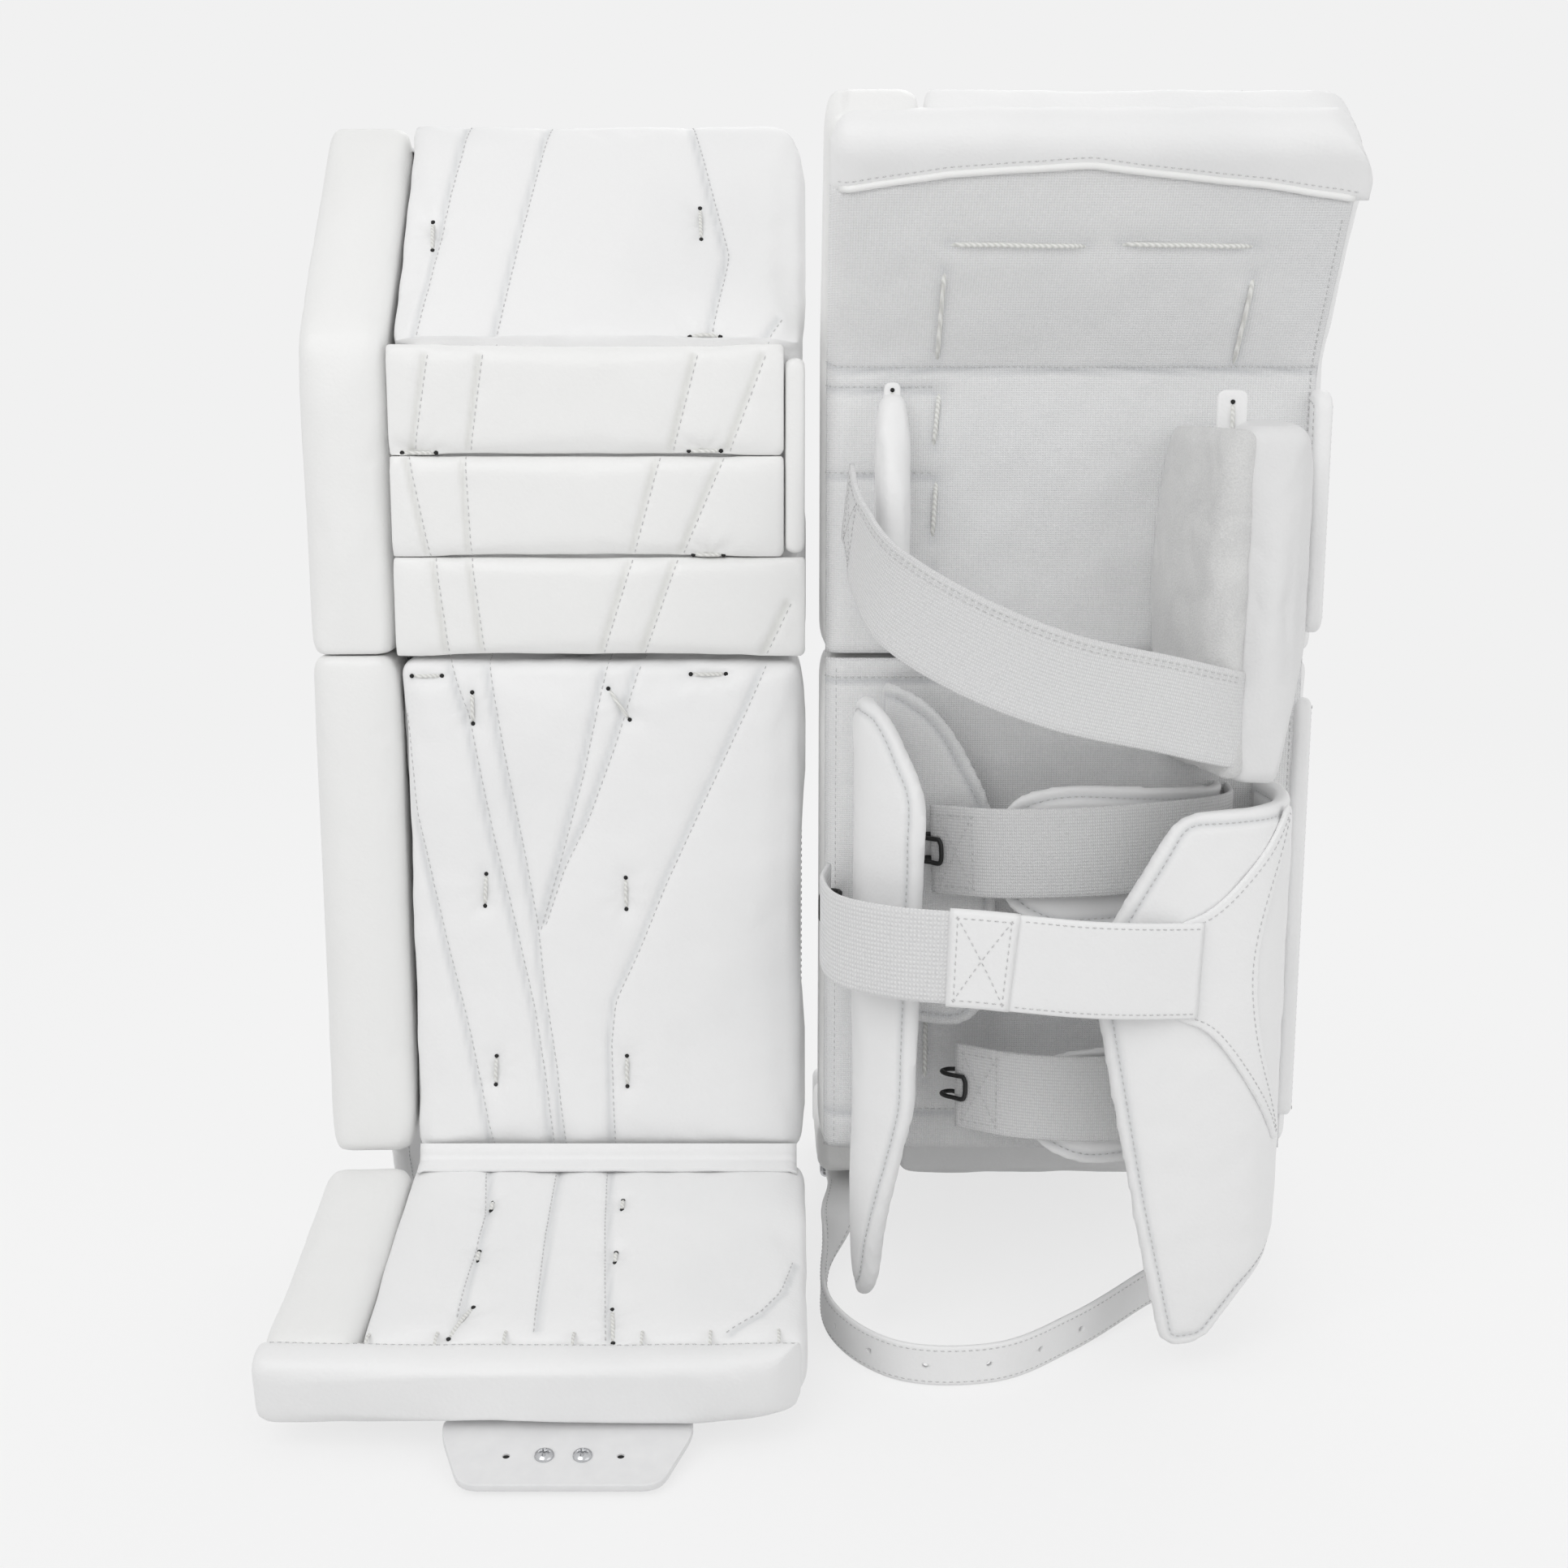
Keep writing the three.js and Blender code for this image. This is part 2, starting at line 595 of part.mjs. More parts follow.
function kneeWraps(pad, place) {
  const root = backFace + gap;
  const stackBack = behind(stackRise);
  const stackTop = belowKneeTop(stackBelowTop);
  const stackPlan = [
    [fromInner(27), root],
    [fromInner(27), behind(44), 10],
    [fromInner(32), stackBack, 14],
    [fromInner(68), stackBack, 12],
    [fromInner(88), behind(36), 10],
    [fromInner(83), root],
  ];
  const stackSide = [
    [fromInner(110), 40],
    [fromInner(110), stackFoot + 26],
    [fromInner(94), stackFoot],
    [fromInner(44), stackFoot],
    [fromInner(22), 20],
    [fromInner(22), stackTop],
    [fromInner(74), stackTop],
    [fromInner(94), stackTop - 35],
  ];
  const stackBlock = solid(rounded(stackPlan, 4, stackFoot, stackTop, 4));
  const stackCut = solid(alongY(roundedOutline(stackSide, 14), 0, stackBack + 30));
  const footRoom = block(fromInner(120), innerEdge, root - 1, behind(stackClear), stackFoot - 1, 2);
  place(pad, "knee_stack", stackBlock.intersect(stackCut).subtract(solid(footRoom)), materials.leather);

  const wingRoot = rollBack + gap;
  const wingSide = [
    [wingRoot, belowKneeTop(27)],
    [wingRoot, 26],
    [behind(20), 6],
    [behind(52), 6],
    [behind(54), belowKneeTop(77)],
    [behind(26), belowKneeTop(20)],
    [behind(12), belowKneeTop(20)],
  ];
  const wing = roundedX(wingSide, 10, fromOuter(wrapInset), fromOuter(wrapInset + wingWidth), 5);
  place(pad, "knee_wing", wing, materials.leather);

  const lies = stackBack + gap + strapThickness / 2;
  const path = [
    [fromInner(42), lies, -21],
    [fromInner(64), lies, -20],
    [36, lies + 6.1, -11],
    [-20, lies + 13.1, 2],
    [fromOuter(70), lies + 11.1, 22],
    [fromOuter(34), lies - 6.9, 44],
    [fromOuter(19), lies - 36.9, 66],
    [fromOuter(14), lies - 70.9, 88],
  ];
  place(pad, "knee_strap", strap(strapCurve(path), elasticWidth, strapThickness), materials.elastic);
}

// The strap under the heel. Its root is sewn flat to the sole on the inner side, and it turns on edge around
// the heel. Its holed end runs flat again through the buckle at the sole's outer side.
function bootStrap(boot, place) {
  const alongSole = strapThickness / 2 + gap;
  const { wall, thickness, clearance } = buckleFrame;
  const underBuckle = gap + wall + clearance + strapThickness / 2;
  const buckleAt = fromOuter(buckleFrame.fromOuter);
  const flat = (x) => new THREE.Vector3(x, 0, 0);
  const sole = (x, offSole, fromCrease, turn) => [new THREE.Vector3(x, bootDepth + offSole, -fromCrease), turn];
  const level = (x, y, z) => new THREE.Vector3(x, y, z).applyAxisAngle(new THREE.Vector3(1, 0, 0), bootBend);
  const loop = (x, y, z) => [level(x, y, z).sub(level(...bootCrease.toArray())), level(0, 0, 1)];
  const route = [
    sole(fromInner(34), alongSole, strapOnSole, flat(1)),
    sole(fromInner(34), alongSole + 0.5, 40, flat(1)),
    sole(fromInner(36), alongSole + 3, 8, flat(1)),
    loop(fromInner(56), behind(0), heelLoopHeight + 10),
    loop(fromInner(96), behind(40), heelLoopHeight + 4),
    loop(0, behind(82), heelLoopHeight),
    loop(-46, behind(117), heelLoopHeight),
    loop(fromOuter(42), behind(115), heelLoopHeight),
    loop(fromOuter(7), behind(66), heelLoopHeight),
    loop(fromOuter(4), behind(4), heelLoopHeight + 6),
    sole(buckleAt, underBuckle + 2, 8, flat(-1)),
    sole(buckleAt, underBuckle, 40, flat(-1)),
    sole(buckleAt, underBuckle, strapOnSole - 2, flat(-1)),
  ];
  const curve = strapCurve(route.map(([at]) => at), route.map(([, turn]) => turn));
  let holed = solid(strap(curve, bootStrapWidth, strapThickness, 30));
  const { count, radius, spacing, middle } = bootStrapHoles;
  for (let i = 0; i < count; i++) {
    const { at, normal } = curve(middle + (i - (count - 1) / 2) * spacing);
    const drill = new THREE.CylinderGeometry(radius, radius, 4 * strapThickness, 8);
    drill.applyQuaternion(new THREE.Quaternion().setFromUnitVectors(new THREE.Vector3(0, 1, 0), normal));
    holed = holed.subtract(solid(drill.translate(at.x, at.y, at.z)));
  }
  place(boot, "boot_strap", holed, materials.leather);

  const halfHole = [bootStrapWidth / 2 + clearance, strapThickness / 2 + clearance];
  const rectangle = (x, y) => [[x, -y], [x, y], [-x, y], [-x, -y]].map((p) => new THREE.Vector2(...p));
  const frame = new THREE.Shape(rectangle(halfHole[0] + wall, halfHole[1] + wall));
  frame.holes.push(new THREE.Path(rectangle(...halfHole)));
  const buckle = place(boot, "boot_buckle", alongZ(frame, -thickness / 2, thickness / 2), materials.steel);
  buckle.position.set(buckleAt, bootDepth + underBuckle, -buckleFrame.fromCrease);
}

// ---- The pair ----
const lowest = heelLoopHeight - bootStrapWidth / 2;
const fromMiddle = (padWidth + padSpacing) / 2;
const rightPad = buildPad("right");
rightPad.position.set(-fromMiddle, 0, -lowest);
const leftPad = buildPad("left");
leftPad.scale.y = -1;
leftPad.position.set(fromMiddle, 0, -lowest);

const pair = new THREE.Group();
pair.add(rightPad, leftPad);

export default pair;
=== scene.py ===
import math

import bpy
import numpy as np
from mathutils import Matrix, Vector
from mathutils.bvhtree import BVHTree


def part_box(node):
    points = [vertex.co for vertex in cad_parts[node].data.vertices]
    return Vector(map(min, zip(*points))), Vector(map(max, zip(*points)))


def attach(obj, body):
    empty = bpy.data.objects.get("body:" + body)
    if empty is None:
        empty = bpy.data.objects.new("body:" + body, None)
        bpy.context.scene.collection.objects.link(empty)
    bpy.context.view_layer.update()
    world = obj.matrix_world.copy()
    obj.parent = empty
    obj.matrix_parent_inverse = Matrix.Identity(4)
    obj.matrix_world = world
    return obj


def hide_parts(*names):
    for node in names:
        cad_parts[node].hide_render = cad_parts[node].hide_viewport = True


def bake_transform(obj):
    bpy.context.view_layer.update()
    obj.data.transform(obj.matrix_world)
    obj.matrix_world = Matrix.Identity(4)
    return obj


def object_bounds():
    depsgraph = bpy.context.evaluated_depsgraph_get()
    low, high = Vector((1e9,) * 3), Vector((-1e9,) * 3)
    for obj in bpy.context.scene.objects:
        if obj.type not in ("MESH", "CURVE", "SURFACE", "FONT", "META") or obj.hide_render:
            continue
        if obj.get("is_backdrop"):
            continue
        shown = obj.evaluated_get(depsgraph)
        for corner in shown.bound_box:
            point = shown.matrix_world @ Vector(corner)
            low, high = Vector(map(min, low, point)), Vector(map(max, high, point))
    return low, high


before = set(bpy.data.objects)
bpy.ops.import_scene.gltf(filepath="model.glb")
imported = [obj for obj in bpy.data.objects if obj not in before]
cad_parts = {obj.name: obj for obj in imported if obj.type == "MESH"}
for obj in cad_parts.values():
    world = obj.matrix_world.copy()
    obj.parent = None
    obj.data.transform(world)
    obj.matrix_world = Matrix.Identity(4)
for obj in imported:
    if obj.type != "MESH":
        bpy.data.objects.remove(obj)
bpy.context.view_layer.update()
scene = bpy.context.scene
scene.frame_start, scene.frame_end = 1, 24
mm = 0.001

# Each pad is drawn in its own frame, in millimetres: x across it with the outer side at -x, y from the
# front face (-y) to the leg side (+y), z = 0 at the seam between knee and shin.
shinHigh = {side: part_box(f"{side}_shin_cover")[1] for side in ("right", "left")}
seamHeight = shinHigh["right"].z / mm + 0.4
pad = {
    "inner": 140, "outer": -140, "coverStart": -90.6, "front": -36, "back": 26, "kneeFront": -22.4,
    "kneeTop": 167, "lean": math.radians(40), "bend": math.radians(80),
    "thighFoot": (-33, 168), "thighLength": 168, "thighDepth": 38, "creaseAt": (-35, -296),
    "bootLength": 196, "bootDepth": 40, "binding": 26,
}
sides = {
    "right": {"x": shinHigh["right"].x / mm - pad["inner"], "turn": 1},
    "left": {"x": shinHigh["left"].x / mm - pad["inner"], "turn": -1},
}
leanUp = (math.sin(pad["lean"]), math.cos(pad["lean"]))
leanBack = (math.cos(pad["lean"]), -math.sin(pad["lean"]))
thighTop = tuple(foot + up * pad["thighLength"] for foot, up in zip(pad["thighFoot"], leanUp))
thighTopBack = tuple(top + back * pad["thighDepth"] for top, back in zip(thighTop, leanBack))


def bootPoint(points):
    # from the boot's own frame, where it hangs straight down, to the pad's
    points = np.atleast_2d(np.asarray(points, float))
    c, s = math.cos(pad["bend"]), math.sin(pad["bend"])
    y, z = pad["creaseAt"]
    return np.c_[points[:, 0], y + points[:, 1] * c + points[:, 2] * s, z - points[:, 1] * s + points[:, 2] * c]


def linear(colour):
    parts = [int(colour[i:i + 2], 16) / 255 for i in (1, 3, 5)]
    return tuple(p / 12.92 if p <= 0.04045 else ((p + 0.055) / 1.055) ** 2.4 for p in parts) + (1,)


def addNode(tree, kind, inputs=None, **settings):
    node = tree.nodes.new(kind)
    for name, value in settings.items():
        setattr(node, name, value)
    for name, value in (inputs or {}).items():
        socket = node.inputs[name]
        if isinstance(value, bpy.types.NodeSocket):
            tree.links.new(value, socket)
        else:
            socket.default_value = value
    return node


def newMaterial(name):
    material = bpy.data.materials.new(name)
    material.use_nodes = True
    material.node_tree.nodes.clear()
    return material, material.node_tree


# Ends a material: its shade runs from dark to light with a pattern, and the shader takes the rest as it is.
def painted(tree, share, dark, light, inputs):
    colour = addNode(tree, "ShaderNodeMix", {0: share, 6: linear(dark), 7: linear(light)}, data_type="RGBA")
    shader = addNode(tree, "ShaderNodeBsdfPrincipled", {"Base Color": colour.outputs[2], **inputs})
    addNode(tree, "ShaderNodeOutputMaterial", {"Surface": shader.outputs["BSDF"]})


# Synthetic leather, embossed with a fine pebble grain and soft creases where it is pulled over foam. Its
# hollows along the seams and round the laces carry painted shade, its tone varies a little at random, and its shine
# varies a little.
def leatherMaterial(name, light, dark, roughness=0.46, grain=0.0017, creases=1.0):
    material, tree = newMaterial(name)
    at = addNode(tree, "ShaderNodeTexCoord").outputs["Object"]
    pebble = addNode(tree, "ShaderNodeTexVoronoi", {"Vector": at, "Scale": 1 / grain}, feature="SMOOTH_F1")
    soft = addNode(tree, "ShaderNodeTexNoise", {"Vector": at, "Scale": 28.0, "Detail": 4.0, "Distortion": 0.6})
    broad = addNode(tree, "ShaderNodeTexNoise", {"Vector": at, "Scale": 7.0, "Detail": 2.0})
    # the seam attribute darkens the colour along seams and round laces: painted shade for their grooves
    seam = addNode(tree, "ShaderNodeAttribute", attribute_name="seam")
    toneAndSeamShade = addNode(tree, "ShaderNodeMath", {0: broad.outputs["Fac"], 1: seam.outputs["Fac"]}, operation="SUBTRACT")
    share = addNode(tree, "ShaderNodeMapRange", {"Value": toneAndSeamShade.outputs[0], "From Min": -0.55, "From Max": 0.5})
    shine = addNode(tree, "ShaderNodeMapRange", {
        "Value": soft.outputs["Fac"], "To Min": roughness - 0.06, "To Max": roughness + 0.08})
    creased = addNode(tree, "ShaderNodeBump", {
        "Height": soft.outputs["Fac"], "Distance": 0.0011 * creases, "Strength": 0.6})
    embossed = addNode(tree, "ShaderNodeBump", {
        "Height": pebble.outputs["Distance"], "Distance": 0.00022, "Strength": 0.55, "Normal": creased.outputs[0]})
    painted(tree, share.outputs[0], dark, light, {
        "Roughness": shine.outputs[0], "Normal": embossed.outputs[0], "IOR": 1.48})
    return material


# Knitted nylon: matt, with rows of fine loops and a slight mottle, and painted shade along its quilted seams, stitched
# edges and laces.
def nylonMaterial(name, light, dark):
    material, tree = newMaterial(name)
    at = addNode(tree, "ShaderNodeTexCoord").outputs["Object"]
    across = addNode(tree, "ShaderNodeTexWave", {"Vector": at, "Scale": 230.0, "Distortion": 0.7}, bands_direction="X")
    along = addNode(tree, "ShaderNodeTexWave", {"Vector": at, "Scale": 260.0, "Distortion": 0.7}, bands_direction="Z")
    mottle = addNode(tree, "ShaderNodeTexNoise", {"Vector": at, "Scale": 900.0, "Detail": 2.0})
    broad = addNode(tree, "ShaderNodeTexNoise", {"Vector": at, "Scale": 9.0, "Detail": 3.0})
    # the seam attribute darkens the colour along quilt seams, stitched edges and laces: painted shade
    seam = addNode(tree, "ShaderNodeAttribute", attribute_name="seam")
    loops = addNode(tree, "ShaderNodeMath", {0: across.outputs["Fac"], 1: along.outputs["Fac"]}, operation="MULTIPLY")
    tone = addNode(tree, "ShaderNodeMath", {0: mottle.outputs["Fac"], 1: broad.outputs["Fac"]}, operation="ADD")
    tone = addNode(tree, "ShaderNodeMath", {0: tone.outputs[0], 1: seam.outputs["Fac"]}, operation="SUBTRACT")
    share = addNode(tree, "ShaderNodeMapRange", {"Value": tone.outputs[0], "From Min": 0.1, "From Max": 1.3})
    knitted = addNode(tree, "ShaderNodeBump", {"Height": loops.outputs[0], "Distance": 0.0004, "Strength": 0.7})
    painted(tree, share.outputs[0], dark, light, {
        "Roughness": 0.9, "Sheen Weight": 0.15, "Normal": knitted.outputs[0]})
    return material


# Brushed suede lining: dull, with a short nap that mottles.
def suedeMaterial(name, light, dark):
    material, tree = newMaterial(name)
    at = addNode(tree, "ShaderNodeTexCoord").outputs["Object"]
    nap = addNode(tree, "ShaderNodeTexNoise", {"Vector": at, "Scale": 1100.0, "Detail": 3.0})
    brushed = addNode(tree, "ShaderNodeTexNoise", {"Vector": at, "Scale": 26.0, "Detail": 3.0, "Distortion": 1.2})
    tone = addNode(tree, "ShaderNodeMath", {0: nap.outputs["Fac"], 1: brushed.outputs["Fac"]}, operation="ADD")
    share = addNode(tree, "ShaderNodeMapRange", {"Value": tone.outputs[0], "From Min": 0.6, "From Max": 1.4})
    raised = addNode(tree, "ShaderNodeBump", {"Height": nap.outputs["Fac"], "Distance": 0.0006, "Strength": 0.8})
    painted(tree, share.outputs[0], dark, light, {
        "Roughness": 0.97, "Sheen Weight": 0.25, "Normal": raised.outputs[0]})
    return material


# A woven strap, whose ribs run with it and whose threads cross it. The piece carries its own measures, and
# rib and thread are those of the cloth, in metres. A wave's bands are 0.314 / scale apart.
def wovenMaterial(name, light, dark, rib, thread, depth):
    material, tree = newMaterial(name)
    run = addNode(tree, "ShaderNodeAttribute", attribute_name="run")
    span = addNode(tree, "ShaderNodeAttribute", attribute_name="span")
    at = addNode(tree, "ShaderNodeCombineXYZ", {"X": run.outputs["Fac"], "Y": span.outputs["Fac"]}).outputs["Vector"]
    ribs = addNode(tree, "ShaderNodeTexWave", {"Vector": at, "Scale": 0.314 / rib, "Distortion": 0.2},
                   bands_direction="Y")
    threads = addNode(tree, "ShaderNodeTexWave", {"Vector": at, "Scale": 0.314 / thread, "Distortion": 0.4},
                      bands_direction="X")
    woven = addNode(tree, "ShaderNodeMath", {0: ribs.outputs["Fac"], 1: threads.outputs["Fac"]}, operation="MULTIPLY")
    fuzz = addNode(tree, "ShaderNodeTexNoise", {"Vector": at, "Scale": 700.0, "Detail": 3.0})
    tone = addNode(tree, "ShaderNodeMath", {0: woven.outputs[0], 1: fuzz.outputs["Fac"]}, operation="ADD")
    share = addNode(tree, "ShaderNodeMapRange", {"Value": tone.outputs[0], "From Min": 0.2, "From Max": 1.1})
    raised = addNode(tree, "ShaderNodeBump", {"Height": woven.outputs[0], "Distance": depth, "Strength": 0.8})
    painted(tree, share.outputs[0], dark, light, {"Roughness": 0.82, "Normal": raised.outputs[0]})
    return material


# Braided waxed lace and sewing thread: twisted strands, a little shine.
def threadMaterial(name, light, dark, twist):
    material, tree = newMaterial(name)
    at = addNode(tree, "ShaderNodeTexCoord").outputs["Object"]
    strands = addNode(tree, "ShaderNodeTexWave", {"Vector": at, "Scale": 0.314 / twist, "Distortion": 1.5},
                      bands_direction="DIAGONAL").outputs["Fac"]
    raised = addNode(tree, "ShaderNodeBump", {"Height": strands, "Distance": 0.0003, "Strength": 0.6})
    painted(tree, strands, dark, light, {"Roughness": 0.6, "Normal": raised.outputs[0]})
    return material


# Moulded or machined hard parts, with faint handling marks.
def hardMaterial(name, light, dark, roughness, metallic=0.0, marks=0.00004):
    material, tree = newMaterial(name)
    at = addNode(tree, "ShaderNodeTexCoord").outputs["Object"]
    cloud = addNode(tree, "ShaderNodeTexNoise", {"Vector": at, "Scale": 120.0, "Detail": 4.0})
    scuffs = addNode(tree, "ShaderNodeTexNoise", {
        "Vector": at, "Scale": 420.0, "Detail": 5.0, "Distortion": 2.0}).outputs["Fac"]
    shine = addNode(tree, "ShaderNodeMapRange", {
        "Value": scuffs, "To Min": roughness * 0.75, "To Max": roughness * 1.3})
    scratched = addNode(tree, "ShaderNodeBump", {"Height": scuffs, "Distance": marks, "Strength": 0.5})
    painted(tree, cloud.outputs["Fac"], dark, light, {
        "Roughness": shine.outputs[0], "Normal": scratched.outputs[0], "Metallic": metallic})
    return material


materials = {
    "leather": leatherMaterial("syntheticLeather", "#f8f8f8", "#e4e5e6"),
    "rollLeather": leatherMaterial("rollLeather", "#f7f7f6", "#e6e6e3", 0.4, 0.0017, 0.5),
    "stackLeather": leatherMaterial("stackLeather", "#ebebeb", "#d4d4d5", 0.5, 0.0016, 1.2),
    "wrapLeather": leatherMaterial("softWrapLeather", "#f6f6f6", "#e0e1e2", 0.5, 0.0016, 1.2),
    "nylon": nylonMaterial("knittedNylon", "#f2f2f2", "#dcdddf"),
    "suede": suedeMaterial("brushedSuedeLining", "#e8e8e7", "#cecece"),
    "elastic": wovenMaterial("ribbedElastic", "#eeeeee", "#d4d4d5", 0.0018, 0.0012, 0.0004),
    "webbing": wovenMaterial("wovenWebbing", "#f3f3f3", "#d6d6d7", 0.0024, 0.0020, 0.0006),
    "thread": threadMaterial("sewingThread", "#e0e0e0", "#c6c6c6", 0.0008),
    "lace": threadMaterial("waxedLace", "#f4f4f1", "#dadad6", 0.0016),
    # dark inside of holes: painted shade
    "hole": hardMaterial("paintedHoleShade", "#2a2a2a", "#101010", 0.8),
    "plastic": hardMaterial("mouldedNylonPlate", "#f4f4f4", "#e9e9ea", 0.4),
    "black": hardMaterial("coatedHookWire", "#1c1c1c", "#0c0c0c", 0.45),
    "steel": hardMaterial("platedSteel", "#d2d3d5", "#b5b6b9", 0.2, 1.0, 0.00002),
}
print("materials made")


def roundedOutline(points, radius, steps=5):
    points = [tuple(p) for p in points]
    out = []
    for i, corner in enumerate(points):
        at = np.array(corner[:2], float)
        reach = corner[2] if len(corner) > 2 else radius
        ends = []
        for other in (points[i - 1], points[(i + 1) % len(points)]):
            away = np.array(other[:2], float) - at
            length = np.linalg.norm(away)
            ends.append(at + away / length * min(reach, length * 0.45))
        for k in range(steps + 1):
            t = k / steps
            out.append((1 - t) ** 2 * ends[0] + 2 * t * (1 - t) * at + t * t * ends[1])
    return np.array(out)


def insetOutline(points, distance):
    out = []
    for i, corner in enumerate(points):
        at = np.array(corner[:2], float)
        a = at - np.array(points[i - 1][:2], float)
        b = np.array(points[(i + 1) % len(points)][:2], float) - at
        a, b = a / np.linalg.norm(a), b / np.linalg.norm(b)
        cross = a[0] * b[1] - a[1] * b[0]
        along = distance * (1 - a.dot(b)) / (cross if abs(cross) > 1e-6 else 1)
        moved = (at[0] - a[1] * distance - a[0] * along, at[1] + a[0] * distance - a[1] * along)
        out.append(moved + ((max(corner[2] - distance, 1),) if len(corner) > 2 else ()))
    return out


# The walls between rings of points, and the sides and rim of a sheet made of rows of points.
def ringFaces(count, around, closed=False):
    out = []
    for i in range(count if closed else count - 1):
        for k in range(around):
            a, b = i * around + k, i * around + (k + 1) % around
            across = ((i + 1) % count - i) * around
            out.append((a, b, b + across, a + across))
    return out


def gridRim(rows, columns):
    return [*range(columns), *range(2 * columns - 1, rows * columns, columns),
            *range(rows * columns - 2, (rows - 1) * columns - 1, -1), *range((rows - 2) * columns, 0, -columns)]


def sheetFaces(rows, columns):
    # a sheet and, after all its points, its other side
    out, count = [], rows * columns
    for i in range(rows - 1):
        for k in range(columns - 1):
            a = i * columns + k
            out.append((a, a + columns, a + columns + 1, a + 1))
            out.append((a + count, a + count + 1, a + count + columns + 1, a + count + columns))
    rim = gridRim(rows, columns)
    return out + [(a, b, b + count, a + count) for a, b in zip(rim, rim[1:] + rim[:1])]


# A closed block between two planes of an outline, its end edges rounded over. The outline is anticlockwise.
def loft(points, radius, low, high, bevel, axis, steps=4):
    rings = []
    for k in range(steps + 1):
        turn = k / steps * math.pi / 2
        inwards = bevel * (1 - math.sin(turn))
        ring = roundedOutline(insetOutline(points, inwards), max(radius - inwards, 1))
        rings.append((ring, bevel * (1 - math.cos(turn))))
    layers = [(ring, low + depth) for ring, depth in rings] + [(ring, high - depth) for ring, depth in reversed(rings)]
    count = len(layers[0][0])
    verts = np.concatenate([np.c_[ring, np.full(count, z)] for ring, z in layers])
    faces = [tuple(range(count))[::-1], tuple(range((len(layers) - 1) * count, len(layers) * count))]
    faces += ringFaces(len(layers), count)
    if axis == "x":
        verts = verts[:, [2, 0, 1]]
    if axis == "y":
        verts = np.c_[verts[:, 0], -verts[:, 2], verts[:, 1]]
    return verts, faces


def meshOf(name, shape, scale=mm):
    verts, faces = shape
    mesh = bpy.data.meshes.new(name)
    mesh.from_pydata([tuple(v) for v in np.asarray(verts) * scale], [], [tuple(int(i) for i in f) for f in faces])
    mesh.update()
    return mesh


def looseObject(name, shape):
    obj = bpy.data.objects.new(name, meshOf(name, shape))
    scene.collection.objects.link(obj)
    return obj


def shapeOf(obj):
    # the object as its modifiers leave it, in millimetres; the object is thrown away
    bpy.context.view_layer.update()
    evaluated = obj.evaluated_get(bpy.context.evaluated_depsgraph_get())
    mesh = evaluated.to_mesh()
    verts = np.empty(len(mesh.vertices) * 3, np.float32)
    mesh.vertices.foreach_get("co", verts)
    faces = [tuple(p.vertices) for p in mesh.polygons]
    evaluated.to_mesh_clear()
    old = obj.data
    bpy.data.objects.remove(obj)
    bpy.data.meshes.remove(old)
    return verts.reshape(-1, 3).astype(float) / mm, faces


def remeshed(shape, voxel):
    obj = looseObject("skin", shape)
    modifier = obj.modifiers.new("skin", "REMESH")
    modifier.mode = "VOXEL"
    modifier.voxel_size = voxel * mm
    return shapeOf(obj)


def subdivided(shape, levels=1):
    obj = looseObject("fine", shape)
    modifier = obj.modifiers.new("fine", "SUBSURF")
    modifier.levels = modifier.render_levels = levels
    return shapeOf(obj)


def normalsOf(shape):
    verts, faces = shape
    normals = np.zeros_like(verts)
    quads = np.array([f if len(f) == 4 else (*f[:3], f[0]) for f in faces])
    across = np.cross(verts[quads[:, 2]] - verts[quads[:, 0]], verts[quads[:, 3]] - verts[quads[:, 1]])
    for k in range(4):
        np.add.at(normals, quads[:, k], across)
    return normals / np.maximum(np.linalg.norm(normals, axis=1, keepdims=True), 1e-9)


def relaxed(shape, times, hold):
    # evens out a mesh; hold is 1 where a point stays
    verts, faces = shape
    edges = np.array(sorted({tuple(sorted((f[i], f[i - 1]))) for f in faces for i in range(len(f))}))
    count = np.zeros(len(verts))
    for k in (0, 1):
        np.add.at(count, edges[:, k], 1)
    for _ in range(times):
        total = np.zeros_like(verts)
        np.add.at(total, edges[:, 0], verts[edges[:, 1]])
        np.add.at(total, edges[:, 1], verts[edges[:, 0]])
        moved = verts * 0.5 + total / count[:, None] * 0.5
        verts = moved * (1 - hold[:, None]) + verts * hold[:, None]
    return verts, faces


# Soft foam under its cover: all the padded shapes swell together, each no further than its cap.
def inflated(shapes, caps, pressure=4.0, frames=18):
    objects = {}
    for name, shape in shapes.items():
        obj = looseObject("swelling_" + name, shape)
        cloth = obj.modifiers.new("cloth", "CLOTH")
        settings = cloth.settings
        settings.quality = 4
        settings.use_pressure = True
        settings.uniform_pressure_force = pressure
        settings.effector_weights.gravity = 0
        settings.tension_stiffness = settings.compression_stiffness = 12
        settings.bending_stiffness = 0.6
        cloth.point_cache.frame_start, cloth.point_cache.frame_end = 1, frames
        objects[name] = obj
    for step in range(1, frames + 1):
        scene.frame_set(step)
    out = {}
    for name, obj in objects.items():
        verts, faces = shapes[name]
        swollen, _ = shapeOf(obj)
        move = swollen - verts
        length = np.linalg.norm(move, axis=1, keepdims=True)
        out[name] = (verts + move * np.minimum(1, caps[name] / np.maximum(length, 1e-6)), faces)
    scene.frame_set(1)
    return out


def ripple(points, wavelength, seed, directions=9):
    # a smooth random surface of about that wavelength, the same each run
    rng = np.random.default_rng(seed)
    waves = rng.normal(size=(directions, 3))
    size = np.linalg.norm(waves, axis=1, keepdims=True)
    waves *= (2 * math.pi / wavelength) * rng.uniform(0.6, 1.5, (directions, 1)) / size
    return np.sin(points @ waves.T + rng.uniform(0, 2 * math.pi, directions)).sum(1) / math.sqrt(directions)


